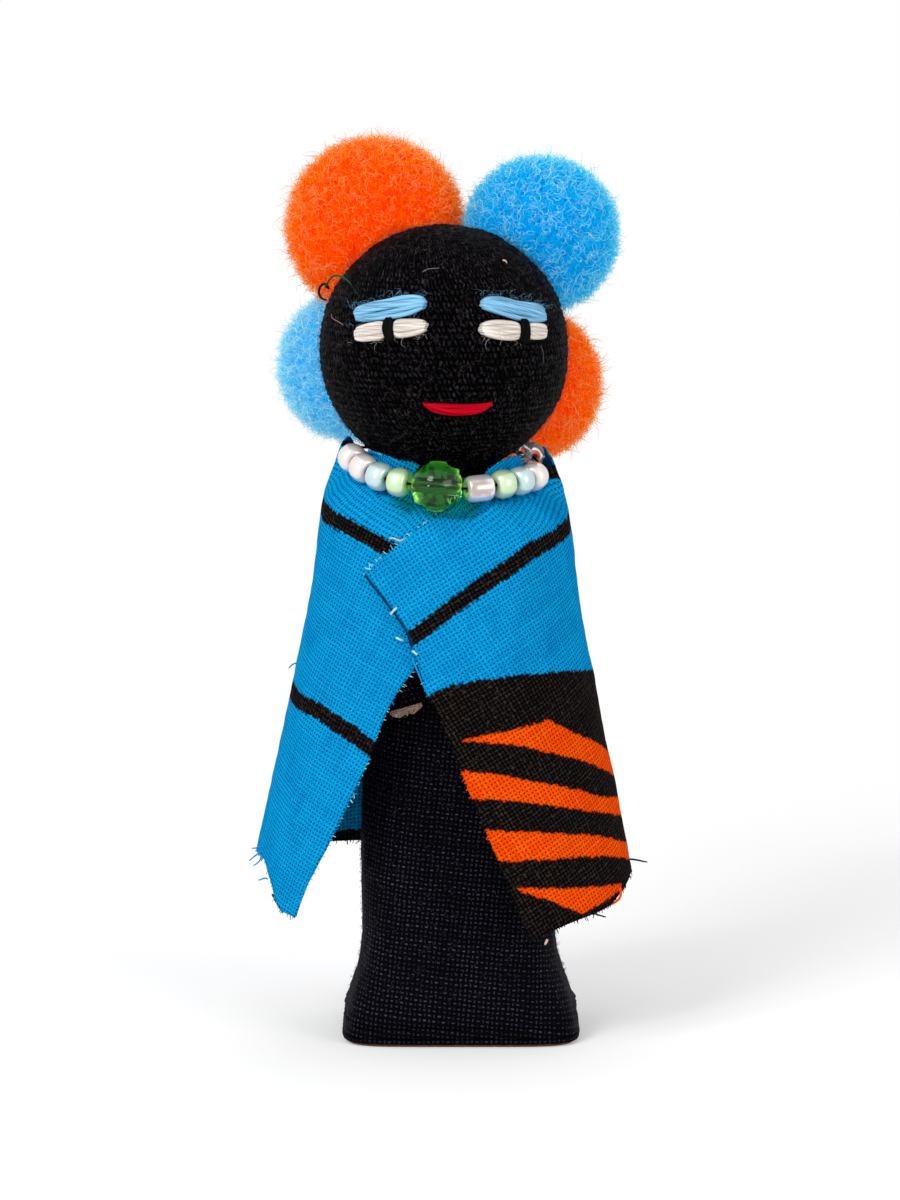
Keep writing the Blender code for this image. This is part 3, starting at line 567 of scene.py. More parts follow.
rings = head_courses * RINGS_IN_COURSE
elevation = np.linspace(-POLE, POLE, rings)[:, None] * np.ones(HEAD_COLUMNS)
azimuth = np.linspace(-180.0, 180.0, HEAD_COLUMNS, endpoint=False) * np.ones((rings, 1))
phase = (elevation + 90) / 180 * head_courses
ridge = np.abs(np.sin(np.pi * phase)) * COURSE_RIDGE
plain = on_head(azimuth, elevation)
lumps = ripples(plain, 9.0, 3) * 0.07 + ripples(plain, 1.6, 4) * 0.07
head = add_piece(
    "head_knit_ball", skin(on_head(azimuth, elevation, ridge + lumps - KNIT_INSET)), knit, "doll_head",
    ("head_cover", "head_stuffing"), cloth_of_skin(np.radians(azimuth) * HEAD_RADIUS, phase * COURSE),
)

# %% Hairs of the yarn
KNIT_HAIRS = 6000


def curly_fibres(roots, outward, length, curl, thickness, seed, steps=5, lean=0.5, paling=1.0, wisps=0.0):
    """Curled fibres from roots: paths, radii, and the marks for a fibre material."""
    random = np.random.default_rng(seed)
    count = len(roots)
    side = unit(np.cross(outward, random.normal(size=(count, 3))))
    other = np.cross(outward, side)
    long = length * random.uniform(0.55, 1.35, count)[:, None]
    long = long * np.where(random.random((count, 1)) < wisps, 1.55, 1.0)
    at = np.linspace(0.0, 1.0, steps)[None, :]
    start = random.uniform(0, 2 * np.pi, count)[:, None]
    turns = random.uniform(0.4, 1.3, count)[:, None] * 2 * np.pi
    swing = curl * at
    tilt = random.uniform(-lean, lean, (count, 2))
    forward = long * at * (1 - 0.25 * at)
    paths = roots[:, None] + outward[:, None] * forward[..., None]
    paths = paths + side[:, None] * (tilt[:, :1] * forward + swing * np.cos(start + turns * at))[..., None]
    paths = paths + other[:, None] * (tilt[:, 1:] * forward + swing * np.sin(start + turns * at))[..., None]
    radii = thickness * random.uniform(0.7, 1.2, count)[:, None] * (1 - 0.8 * at**2)
    marks = {
        "along": np.repeat((at**paling * np.ones((count, 1)))[..., None], 3, axis=2).ravel(),
        "chance": np.repeat(random.random(count), steps * 3),
    }
    return tubes(paths, radii), marks


random = np.random.default_rng(11)
spots = unit(random.normal(size=(KNIT_HAIRS, 3)))
hairs, marks = curly_fibres(HEAD_CENTRE + spots * (HEAD_RADIUS - 0.1), spots, 0.62, 0.34, 0.021, 12, wisps=0.15)
grey_hair = fibre_material("grey knit hair", (0.004, 0.004, 0.005), (0.13, 0.115, 0.12), 0.5, 0.6)
add_piece("head_knit_hairs", hairs, grey_hair, "doll_head", marks=marks)

# %% [markdown]
# ## Pompoms
# A craft pompom is a bundle of fine acrylic yarn cut to a ball: thousands of curly ends, deep in colour inside and
# paler at the tips, where light passes through them. That paleness is painted light: the fibres' colour is painted
# paler towards the tips and wisp ends, and the fibres glow faintly in their own colour. Particle hair could do this,
# but it does not export as a mesh. Here each pompom is a bumpy core and some fifteen thousand curled fibres, which
# stay off the head and off each other.

# %% Core and fibres
POMPOM_SINK = 0.66  # how far a pompom's centre lies out of the head, as a share of its radius
POMPOMS = (  # name, radius, direction from the head's centre, yarn
    ("pompom_orange_top", 12.6, (-9.2, 16.8, 14.9), "orange"),
    ("pompom_blue_top", 10.7, (13.5, 13.5, 14.9), "blue"),
    ("pompom_blue_side", 10.6, (-12.6, 20.0, -4.1), "pale_blue"),
    ("pompom_orange_side", 11.1, (10.8, 20.4, -6.7), "orange"),
)
FIBRES_IN_PIECE, WISPS = 6200, 2600
CORE_SHARE = 0.91
CORE_RINGS, CORE_COLUMNS = 90, 120

# Tips and wisp ends are painted paler than the roots, as painted light. The side blue pompom's yarn is the blue
# painted paler still, for the extra light it catches.
YARNS = {  # colours at the root, at the tip and of a wisp's end, and the slot
    "orange": ((1.0, 0.055, 0.0), (1.0, 0.113, 0.0005), (1.0, 0.27, 0.045), "orange_yarn"),
    "blue": ((0.0, 0.37, 0.84), (0.003, 0.65, 0.96), (0.4, 0.88, 1.0), "blue_yarn"),
    "pale_blue": ((0.03, 0.5, 0.9), (0.13, 0.8, 1.0), (0.65, 0.95, 1.0), "blue_yarn"),
}
yarn_finish, wisp_finish = {}, {}
for colour, (root, tip, pale, _) in YARNS.items():
    # The last number of each is the painted glow.
    yarn_finish[colour] = fibre_material(colour + " pompom fibre", root, tip, 0.16, 0.85, 0.03, 0.7, 0.16)
    wisp_finish[colour] = fibre_material(colour + " pompom wisp", tip, pale, 0.3, 0.85, 0.03, 0.7, 0.12)


def clear_of(points, centre, radius):
    return np.linalg.norm(points - centre, axis=-1) > radius


def pushed_out(points, centre, radius):
    """Points inside a ball moved to its surface."""
    away = points - centre
    far = np.linalg.norm(away, axis=-1, keepdims=True)
    return np.where(far < radius, centre + away / far * radius, points)


balls = []
for name, radius, way, colour in POMPOMS:
    balls.append((name, radius, HEAD_CENTRE + unit(np.array(way)) * (HEAD_RADIUS + POMPOM_SINK * radius), colour))

polar = np.linspace(-89.0, 89.0, CORE_RINGS)[:, None] * np.ones(CORE_COLUMNS)
around = np.linspace(0.0, 360.0, CORE_COLUMNS, endpoint=False) * np.ones((CORE_RINGS, 1))
out = unit(on_head(around, polar) - HEAD_CENTRE)
for number, (name, radius, centre, colour) in enumerate(balls):
    slot = YARNS[colour][3]
    core = centre + out * radius * CORE_SHARE
    core = core + out * (ripples(core, 2.2, 20 + number) * 0.28 + ripples(core, 0.8, 30 + number) * 0.12)[..., None]
    core = pushed_out(core, HEAD_CENTRE, HEAD_RADIUS + 0.3)
    for other, other_radius, other_centre, _ in balls[:number]:
        core = pushed_out(core, other_centre, other_radius * 0.97)
    shape = skin(core)
    add_piece(name + "_core", shape, yarn_finish[colour], "doll_head", (name,), even_marks(shape, 0.0, 0.3))
    for batch in range(3):
        random = np.random.default_rng(40 + number * 5 + batch)
        ways = unit(random.normal(size=(FIBRES_IN_PIECE * 2, 3)))
        tuft = centre + ways * radius
        free = clear_of(tuft, HEAD_CENTRE, HEAD_RADIUS + 0.4)
        for other, other_radius, other_centre, _ in balls:
            if other != name:
                free &= clear_of(tuft, other_centre, other_radius - 0.8)
        ways = ways[free][:FIBRES_IN_PIECE]
        seed = 60 + number * 5
        if batch < 2:
            finish, roots = yarn_finish[colour], centre + ways * radius * (CORE_SHARE - 0.04)
            shape, marks = curly_fibres(
                roots, ways, radius * 0.04 + 1.75, 0.55, 0.05, seed + batch, steps=6, lean=0.6, paling=3.0, wisps=0.04,
            )
        else:
            finish, ways = wisp_finish[colour], ways[:WISPS]
            shape, marks = curly_fibres(
                centre + ways * (radius - 0.9), ways, 1.75, 0.62, 0.05, seed, steps=9, lean=1.1, paling=0.8, wisps=0.1,
            )
        add_piece(name + "_fibres_" + "abc"[batch], shape, finish, "doll_head", marks=marks)

# %% [markdown]
# ## Body
# The body is a tube of dark woven cloth, stuffed, gathered at the neck and spread at the foot over a card. One skin
# stands for cover and stuffing: it runs up the outside, turns in over the rim and closes inside the neck hole, which
# leaves room for the neck's tail. The weave is a bump in the cloth's own coordinates.

# %% Stuffed body
BODY_FOOT = 1.15
BODY_HEIGHT = 78.0
BODY_PROFILE = (  # height over the foot, half width, half depth, squareness
    (0.0, 16.6, 13.2, 6.0), (2.0, 16.2, 12.95, 5.2), (4.8, 15.4, 12.4, 4.2), (7.6, 14.5, 12.0, 3.6),
    (10.4, 13.85, 11.7, 3.2), (13.4, 13.5, 11.5, 3.0), (22.8, 13.4, 11.4, 2.8), (34.8, 13.2, 11.3, 2.6),
    (44.8, 13.1, 11.3, 2.5), (54.8, 12.9, 11.2, 2.4), (62.8, 12.6, 11.2, 2.3), (68.8, 12.1, 11.0, 2.2),
    (72.3, 11.1, 10.4, 2.1), (74.3, 9.5, 9.0, 2.0), (76.3, 8.2, 8.0, 2.0), (BODY_HEIGHT, 7.1, 7.1, 2.0),
)
BODY_LEAN = ((0.0, 0.0), (14.0, -0.4), (46.0, -0.7), (66.0, -1.9), (74.0, -2.35), (80.0, -2.35))
BODY_PITCH = 0.67
BODY_SIDES = 200
BODY_TOP_RING = 77.6  # height of the last ring before the cloth turns in
CLOTH_TILT = math.radians(6.0)
TAIL_BOTTOM = BODY_FOOT + BODY_HEIGHT - 1.2 - 8.0


def body_point(turn, height, inset=0.0):
    """Points of the body's cover, the turn in radians from +X."""
    half_width, half_depth, power = np.moveaxis(along(BODY_PROFILE, height), -1, 0)
    c, s = np.cos(turn), np.sin(turn)
    x = (half_width - inset) * np.sign(c) * np.abs(c) ** (2 / power) + along(BODY_LEAN, height)
    y = (half_depth - inset) * np.sign(s) * np.abs(s) ** (2 / power)
    return np.stack([x, y, height + BODY_FOOT], -1)


def even_turns(count, power):
    """Angles that space the points of a squarish outline evenly."""
    fine = np.linspace(0, 2 * np.pi, 2001)
    c, s = np.cos(fine), np.sin(fine)
    x = np.sign(c) * np.abs(c) ** (2 / power)
    y = np.sign(s) * np.abs(s) ** (2 / power)
    far = walked(np.stack([x, y], -1))
    return np.interp(np.linspace(0, far[-1], count, endpoint=False), far, fine)


def hump(x, middle, width):
    return np.exp(-(((x - middle) / width) ** 2))


navy, tree, shader = new_material("navy cloth", {"Roughness": 0.6, "Specular IOR Level": 0.015})
cloth = mark(tree, "cloth")
weave = use_group(tree, WEAVE, Cloth=cloth, Pitch=BODY_PITCH)
# Thread tops are painted lighter and the gaps between threads dark: a painted highlight and painted shade. Warp
# threads are darker than weft, and slow patches make it brighter or dimmer.
lit = times(tree, spread(tree, weave["Height"], 0.62, 1.0), line_of(tree, weave["Shade"], 0.7, 0.2))
lit = times(tree, lit, line_of(tree, weave["Warp"], -0.5, 1.05))
lit = times(tree, lit, spread(tree, noise(tree, cloth, 0.16, 3.0), 0.25, 0.7, 0.55, 1.3))
put(tree, shader.inputs["Base Color"], tinted(tree, lit, (0.001, 0.0008, 0.0016), (0.062, 0.056, 0.098)))
relief = line_of(tree, noise(tree, cloth, 9.0), 0.25, weave["Height"])
put(tree, shader.inputs["Normal"], bump(tree, relief, 0.13))

heights = np.concatenate([np.linspace(0.0, 1.6, 10), np.linspace(2.0, 76.0, 170), np.linspace(76.3, BODY_TOP_RING, 8)])
turns = np.stack([even_turns(BODY_SIDES, power) for power in along(BODY_PROFILE, heights)[:, 2]])
level = heights[:, None] * np.ones(BODY_SIDES)
outer = body_point(turns, level)
middle = np.stack([along(BODY_LEAN, level), 0 * level, level + BODY_FOOT], -1)
outward = unit(outer - middle)
hem_dip = -0.35 * hump(level, 1.15, 0.35) - 0.2 * hump(level, 0.0, 0.35)
hem_ridge = (0.2 + 0.14 * ripples(outer * (1.0, 1.0, 0.3), 2.4, 73)) * hump(level, 2.1, 0.45)
hem_ridge = hem_ridge - (0.12 + 0.08 * ripples(outer, 3.5, 74)) * hump(level, 3.3, 0.5)
crease = ripples(outer * (1.0, 1.0, 0.35), 9.0, 70) * 0.2 + ripples(outer, 3.0, 71) * 0.06
crease = crease * smooth(level, 1.0, 6.0) - 0.12
gather = 0.35 * np.cos(turns * 17 + ripples(outer, 12.0, 72)) * smooth(level, 69.0, 73.0)
gather = gather * (1 - 0.75 * smooth(level, 73.5, 77.0))  # flatter at the rim, where the head rests
body_grid = outer + outward * (hem_dip + hem_ridge + crease + gather)[..., None]

RIM_TURN = ((0.97, 0.22), (0.94, 0.32), (0.91, 0.2), (0.895, -0.25))  # share of the rim's reach, and rise over it
rim, rim_middle = body_grid[-1:], middle[-1:]
turn_in = [rim_middle + (rim - rim_middle) * share + (0, 0, rise) for share, rise in RIM_TURN]
hole_depths = (-1.5, -4.0, TAIL_BOTTOM - 0.35 - (BODY_TOP_RING + BODY_FOOT))
inside = [turn_in[-1] + (0, 0, depth) for depth in hole_depths]
body_grid = np.concatenate([body_grid, *turn_in, *inside])
walk = walked(body_grid, axis=1)
walk = walk - walk[:, [BODY_SIDES * 3 // 4]]
climb = np.concatenate([heights, heights[-1] + np.arange(1, 8) * 0.7])[:, None] * np.ones(BODY_SIDES)
body = add_piece(
    "body_stuffed_cloth", skin(body_grid), navy, "doll_body", ("body_cover", "body_stuffing"),
    cloth_of_skin(*turned(walk, climb, CLOTH_TILT)),
)

# %% Turned-in hem round the card
HEM_INSET, HEM_THICK, HEM_TALL, HEM_MIDDLE = 0.28, 0.44, 0.8, 0.74
HEM_STEPS, HEM_SIDES = 320, 12
walk_round = even_turns(HEM_STEPS, BODY_PROFILE[0][3])
line = body_point(walk_round, 0 * walk_round, HEM_INSET)
out = np.cross(loop_ways(line), (0.0, 0.0, 1.0))
turn = full_turn(HEM_SIDES)
puckers = 1 + 0.1 * ripples(line, 1.7, 75) + 0.12 * np.abs(np.sin(np.cumsum(np.full(HEM_STEPS, 0.7))))
section = out[:, None] * (np.cos(turn) * HEM_THICK / 2)[:, None]
section = section + np.array((0.0, 0.0, 1.0)) * (np.sin(turn) * HEM_TALL / 2)[:, None]
hem_grid = line * (1, 1, 0) + (0, 0, HEM_MIDDLE)
hem_grid = hem_grid[:, None] + section * np.stack([puckers, puckers, 0.94 + 0 * puckers], -1)[:, None]
far = walked(line)[:, None]
cloth = np.stack([far + 0 * turn, turn * 0.35 + 0 * far, 0 * turn + 0 * far], -1).reshape(-1, 3)
hem = add_piece(
    "body_turned_hem", skin(hem_grid, ring_round=True), navy, "doll_body", marks={"cloth": cloth},
)

# %% Fuzz on the body's cloth
FUZZ_LOW, FUZZ_HIGH = 14, 100  # rows of the skin between which the cloth shows under the shawl
FUZZ_COUNT = 2600
random = np.random.default_rng(77)
row, column = random.integers(FUZZ_LOW, FUZZ_HIGH, FUZZ_COUNT), random.integers(0, BODY_SIDES, FUZZ_COUNT)
fuzz, marks = curly_fibres(body_grid[row, column], outward[row, column], 0.4, 0.3, 0.026, 78, lean=0.9, wisps=0.08)
navy_fuzz = fibre_material("navy cloth fuzz", (0.002, 0.002, 0.003), (0.075, 0.075, 0.11), 0.5, 0.7)
add_piece("body_cloth_fuzz", fuzz, navy_fuzz, "doll_body", marks=marks)

# %% [markdown]
# ## Shawl
# The shawl is one scrap of printed cotton with raw edges, laid round the shoulders and crossed in front, the right
# flap over the left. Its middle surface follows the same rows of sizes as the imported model, with more points and
# small creases. Black lines, the black band and its orange stripes are printed, so they belong to the colour:
# each point carries its distance to the edges of the print, and the material turns that into a sharp edge
# that is jagged by the threads, as ink is on cotton.

# %% The necklace's loop, which the collar follows
GAP = 0.35
CLOTH = 0.5
NECK_X = -2.35
HEAD_Z = HEAD_CENTRE[2]
SEED_RADIUS, SEED_LENGTH, SEED_BORE = 2.0, 2.85, 0.55
BIG_RADIUS, BIG_LENGTH, BIG_BORE = 3.7, 6.6, 0.8
TUBE_RADIUS, TUBE_LENGTH = 1.85, 3.8
CLEAR_RADIUS, CLEAR_LENGTH = 2.0, 2.8
BEAD_GAP, BIG_GAP, LAST_GAP = 0.45, 0.62, 0.8
BIG_ANGLE = -4.1
COLLAR_RADIUS = 8.0 + GAP + CLOTH / 2 + 0.5
BEAD_ROOM = CLOTH / 2 + 1.3 * GAP
LOOP_RADIUS = COLLAR_RADIUS + BEAD_ROOM + BIG_RADIUS
LOOP_BACK = 9.6
LOOP_DROP = (
    (-180.0, -1.28), (-140.0, -1.68), (-105.0, -0.92), (-88.0, -0.16), (-66.0, 1.1), (-52.0, 2.15),
    (-38.5, 2.95), (-25.0, 3.45), (-4.0, 3.8), (18.0, 4.2), (34.0, 3.85), (48.0, 3.65),
    (64.0, 3.45), (84.0, 2.19), (105.0, 0.18), (140.0, -1.48), (180.0, -1.28),
)


def half_turn(angle):
    return (angle + 180.0) % 360.0 - 180.0


def loop_points(angle):
    """Places on the necklace's thread at angles from the front, in degrees."""
    turn = half_turn(np.asarray(angle, float))
    reach = mix(LOOP_RADIUS, LOOP_BACK, smooth(np.abs(turn), 72.0, 155.0))
    touching = HEAD_Z - np.sqrt((HEAD_RADIUS + SEED_RADIUS) ** 2 - reach**2)
    a = np.radians(turn)
    return np.stack([NECK_X + reach * np.sin(a), -reach * np.cos(a), touching - along(LOOP_DROP, turn)], -1)


def bead_angles():
    """Angles of the beads on the loop, worked outwards from the large one."""
    per_mm = math.degrees(1 / LOOP_RADIUS)
    big, seed, tube = BIG_LENGTH / 2, SEED_LENGTH / 2, TUBE_LENGTH / 2
    left = [BIG_ANGLE - (big + BIG_GAP + seed) * per_mm]
    for _ in range(3):
        left.append(left[-1] - (SEED_LENGTH + BEAD_GAP) * per_mm)
    right = [BIG_ANGLE + (big + BIG_GAP + tube) * per_mm]
    right.append(right[-1] + (tube + BEAD_GAP + seed) * per_mm)
    right.append(right[-1] + (SEED_LENGTH + BEAD_GAP) * per_mm)
    right.append(right[-1] + (SEED_LENGTH + LAST_GAP) * per_mm)
    return left, right


left_beads, right_beads = bead_angles()
cross_start = max(-left_beads[-1], right_beads[-1]) + 11.2
COLLAR_CROSS = (cross_start, cross_start + 14.0)
print("collar passes out under the thread between", [round(a, 1) for a in COLLAR_CROSS], "degrees")

# %% The shawl's surface
SHAWL_X = -2.3
SHAWL_SIDE = (
    (13.0, 27.7), (24.0, 26.0), (28.3, 25.2), (34.0, 24.0), (39.5, 22.8), (45.0, 21.7), (51.0, 20.5),
    (56.0, 19.4), (62.0, 18.4), (69.0, 17.6), (76.0, LOOP_RADIUS + 2.9), (79.0, LOOP_RADIUS + 1.9),
    (81.5, LOOP_RADIUS + 1.0), (84.0, LOOP_RADIUS + 0.4),
)
SHAWL_DEEP = (
    (13.0, 21.3), (24.0, 20.6), (34.0, 19.8), (45.0, 18.9), (56.0, 18.2), (62.0, 17.7), (69.0, 16.8),
    (73.0, LOOP_BACK + 6.2), (76.0, LOOP_BACK + 5.4), (79.0, LOOP_BACK + 4.5), (84.0, LOOP_BACK + 3.6),
)
SHAWL_TOP = (
    (-36.0, 66.0), (-29.0, 68.2), (-20.0, 70.4), (-11.0, 72.7), (-1.0, 74.6), (10.0, 76.2), (20.0, 77.5),
    (30.0, 79.2), (42.0, 80.6), (60.0, 81.3), (72.0, 81.1), (80.0, 79.8), (89.0, 78.8), (98.0, 80.4),
    (107.0, 81.6), (117.0, 80.9), (130.0, 79.0), (150.0, 78.6), (180.0, 78.6), (210.0, 79.2),
    (235.0, 81.0), (252.0, 83.0), (262.0, 82.2), (271.0, 80.8), (281.0, 81.5), (300.0, 81.9),
    (330.0, 80.9), (344.0, 80.0), (356.0, 79.4),
)
SHAWL_HEM = (
    (25.0, 16.5), (39.0, 18.2), (58.0, 19.6), (69.0, 21.4), (90.0, 23.6), (130.0, 23.8), (180.0, 23.2),
    (230.0, 23.6), (262.0, 25.2), (284.0, 25.1), (294.0, 22.7), (298.2, 20.6), (305.0, 18.8), (310.0, 18.5),
)
EDGE_RIGHT = (
    (16.5, 25.0), (27.0, 17.0), (40.1, 5.3), (47.3, -1.5), (50.2, -6.3), (53.4, -9.2), (56.2, -12.8),
    (58.0, -14.6), (62.3, -24.5), (66.0, -36.0),
)
EDGE_LEFT = (
    (18.5, 310.0), (22.9, 313.3), (27.8, 318.7), (33.6, 324.6), (40.8, 331.6), (47.7, 337.3),
    (50.8, 341.4), (54.8, 348.6), (62.0, 354.0), (70.0, 356.0), (80.4, 356.0),
)
LAYER_STEP = 0.95


def shawl_points(round_angle, z):
    """Points of the shawl's middle surface. The angle runs on past 360 degrees where the left flap ends."""
    turn = half_turn(round_angle)
    over = z - loop_points(turn)[..., 2]
    past = np.abs(turn - BIG_ANGLE) - math.degrees(BIG_LENGTH / 2 / LOOP_RADIUS)
    room = mix(SEED_RADIUS, BIG_RADIUS, 1 - smooth(past, 5.0, 19.0)) + BEAD_ROOM
    share = np.clip(over / room, -1.0, 0.0)
    throat = LOOP_RADIUS - room * np.sqrt(1 - share**2) + 0.9 * np.maximum(0.0, -over - room)
    below = HEAD_Z - z
    beside = np.sqrt(np.maximum(HEAD_RADIUS**2 - below**2, 0.0)) + 1.5 * GAP + CLOTH / 2
    throat = np.where(np.abs(below) < HEAD_RADIUS, np.maximum(throat, beside), throat)
    front = (1 - smooth(np.abs(turn), *COLLAR_CROSS)) * smooth(over, -7.0, -4.5)
    wide, long = mix(along(SHAWL_SIDE, z), throat, front), mix(along(SHAWL_DEEP, z), throat, front)
    waves = smooth(60.0 - z, 0.0, 35.0) * smooth(np.abs(turn), 70.0, 110.0) * 0.55
    swing = waves * np.sin(np.radians(turn) * 7)
    layer = LAYER_STEP / 2 * (1 - smooth(round_angle, 22.0, 60.0)) - LAYER_STEP / 2 * smooth(round_angle, 300.0, 335.0)
    layer = layer * (1 - smooth(over, -4.6, -3.2))
    a = np.radians(turn)
    return np.stack([SHAWL_X + (wide + swing + layer) * np.sin(a), -(long + swing + layer) * np.cos(a), z], -1)


def shawl_place(top_angle, share):
    """Angle and height at a share of the way down the cloth from a place on its upper edge."""
    first, last = SHAWL_TOP[0][0], SHAWL_TOP[-1][0]
    hem_first, hem_last = SHAWL_HEM[0][0], SHAWL_HEM[-1][0]
    across = (top_angle - first) / (last - first)
    hem_angle = mix(hem_first, hem_last, across)
    angle = mix(top_angle, hem_angle, share)
    for near, edge, start, end in (
        (1 - smooth(across, 0.0, 0.3), EDGE_RIGHT, first, hem_first),
        (smooth(across, 0.75, 1.0), EDGE_LEFT, last, hem_last),
    ):
        z = mix(edge[-1][0], edge[0][0], share)
        angle = angle + near * (along(edge, z) - mix(start, end, share))
    return angle, mix(along(SHAWL_TOP, top_angle), along(SHAWL_HEM, hem_angle), share)


COTTON = 0.34  # thickness of the cloth that shows
CLOTH_SPAN, CLOTH_DROP = 300, 150
top_angles = np.linspace(SHAWL_TOP[0][0], SHAWL_TOP[-1][0], CLOTH_SPAN)
shares = np.linspace(0.0, 1.0, CLOTH_DROP) ** 1.15
angles, heights = shawl_place(top_angles * np.ones((CLOTH_DROP, 1)), shares[:, None] * np.ones(CLOTH_SPAN))
middle = shawl_points(angles, heights)
outward = unit(np.cross(np.gradient(middle, axis=1), np.gradient(middle, axis=0)))
centre_cell = (CLOTH_DROP // 2, CLOTH_SPAN // 2)
outward *= np.sign((outward[centre_cell] * (middle[centre_cell] - (SHAWL_X, 0, 45))).sum())
creases = ripples(middle * (1.0, 1.0, 0.5), 8.0, 80) * 0.09 + ripples(middle, 2.6, 81) * 0.035
middle = middle + outward * creases[..., None]
print("shawl's surface", middle.shape)

# %% The print's edges
LINE_HALF = 1.15
RIGHT_FLAP_END = 190.0  # degrees up to which the cloth belongs to the doll's left side and back
LEFT_LINES = (  # corners (angle, height) of black lines on the right flap's half of the cloth
    (
        (195.0, 75.0), (155.0, 74.6), (118.0, 73.4), (88.0, 72.1), (78.9, 71.5), (40.7, 69.2), (19.5, 65.7),
        (2.3, 61.9), (-13.8, 57.7), (-24.0, 55.0),
    ),
    ((84.0, 79.5), (95.0, 78.0)),
    ((195.0, 50.5), (160.0, 50.3), (138.0, 49.6), (112.0, 47.5)),
)
RIGHT_LINES = (  # and on the left flap's half
    (
        (-175.0, 75.0), (-135.0, 74.9), (-105.0, 74.4), (-84.0, 73.9), (-70.4, 73.2), (-50.5, 72.2),
        (-35.7, 70.8), (-23.2, 69.3), (-4.0, 66.6),
    ),
    (
        (-175.0, 50.4), (-130.0, 49.8), (-95.0, 48.6), (-77.7, 47.9), (-52.5, 46.7), (-37.5, 44.6), (-20.0, 41.0),
    ),
    ((-98.0, 83.5), (-101.0, 81.0)),
)
BAND_TOP = (
    (-10.0, 49.6), (-6.4, 50.1), (2.1, 51.5), (14.3, 52.3), (35.2, 52.6), (58.4, 52.1), (88.0, 51.0),
    (110.0, 49.0), (130.0, 42.0), (146.0, 30.0), (156.0, 18.0),
)
STRIPES = (
    (
        (6.2, 44.1), (20, 45), (40.2, 46.1), (54.6, 43.6), (81.8, 39.9), (100, 34.8), (83.8, 36.2), (51.1, 40.4),
        (24.9, 43.2),
    ),
    (
        (0, 40.2), (15.5, 39.5), (39.9, 37.2), (63.8, 34.4), (83.8, 33.2), (106, 29.2), (83.8, 30.5), (47.8, 33.5),
        (26, 35.4), (4, 36.4),
    ),
    (
        (8, 32), (28.1, 31.2), (53.3, 29.7), (83.4, 26.7), (104, 24.6), (104, 23.0), (83.8, 24.4), (60, 26.4),
        (43.5, 27.1), (12, 27.6),
    ),
    ((20.3, 23.8), (37.9, 23.1), (54.6, 22.5), (67.4, 22), (65.2, 21.3), (44.5, 19.3)),
)
HEM_PATCH_TOP, HEM_PATCH_ANGLE, HEM_PATCH_HALF = 25.0, 214.0, 7.0  # the dark patch at the back's hem
CLOTH_RADIUS = 21.3  # turns an angle round the doll into a length on the cloth
FAR_AWAY = 9.0  # a distance that no print reaches


def flat_map(angle, height):
    return np.stack([np.radians(angle) * CLOTH_RADIUS, height], -1)


def far_from_line(points, corners, closed=False):
    """Distance of points on the cloth to a line through corners."""
    corners = np.array([flat_map(a, h) for a, h in corners])
    ends = np.roll(corners, -1, axis=0) if closed else corners[1:]
    starts = corners if closed else corners[:-1]
    least = np.full(points.shape[:-1], 1e9)
    for start, end in zip(starts, ends):
        run = end - start
        at = np.clip(((points - start) @ run) / (run @ run), 0, 1)[..., None]
        least = np.minimum(least, np.linalg.norm(points - start - at * run, axis=-1))
    return least


def inside_of(points, corners):
    corners = np.array([flat_map(a, h) for a, h in corners])
    found = np.zeros(points.shape[:-1], bool)
    for (x0, y0), (x1, y1) in zip(corners, np.roll(corners, -1, axis=0)):
        crosses = (y0 > points[..., 1]) != (y1 > points[..., 1])
        at = x0 + (points[..., 1] - y0) * (x1 - x0) / (y1 - y0 + 1e-12)
        found ^= crosses & (points[..., 0] < at)
    return found


right_half = angles > RIGHT_FLAP_END
left_half = ~right_half
on_cloth = flat_map(np.where(right_half, angles - 360, angles), heights)
black = np.full(angles.shape, FAR_AWAY)
for lines, half in ((RIGHT_LINES, right_half), (LEFT_LINES, left_half)):
    for line in lines:
        black = np.minimum(black, np.where(half, far_from_line(on_cloth, line) - LINE_HALF, FAR_AWAY))
black = np.minimum(black, np.where(left_half, (heights - along(BAND_TOP, angles)) * 0.97, FAR_AWAY))
hem_patch = np.maximum(heights - HEM_PATCH_TOP, np.abs(angles - HEM_PATCH_ANGLE) * 0.4 - HEM_PATCH_HALF)
black = np.minimum(black, hem_patch)
orange = np.full(angles.shape, FAR_AWAY)
for stripe in STRIPES:
    away = far_from_line(on_cloth, stripe, closed=True) * np.where(inside_of(on_cloth, stripe), -1, 1)
    orange = np.minimum(orange, np.where(left_half, away, FAR_AWAY))
print("share in black", round(float((black < 0).mean()), 3), "in orange", round(float((orange < 0).mean()), 3))

# %% The cloth, its print and its threads
WEAVE_PITCH = 0.565
WEAVE_TURN = math.radians(31.0)
SHADED_EDGE = 56.5  # height over which the cut edge of the upper flap lies in its own shade
MID_HEIGHT = 45.0
CONE_SLOPE, CONE_RADIUS = 0.177, 21.7  # how fast the shawl widens downwards, and its half width at mid height

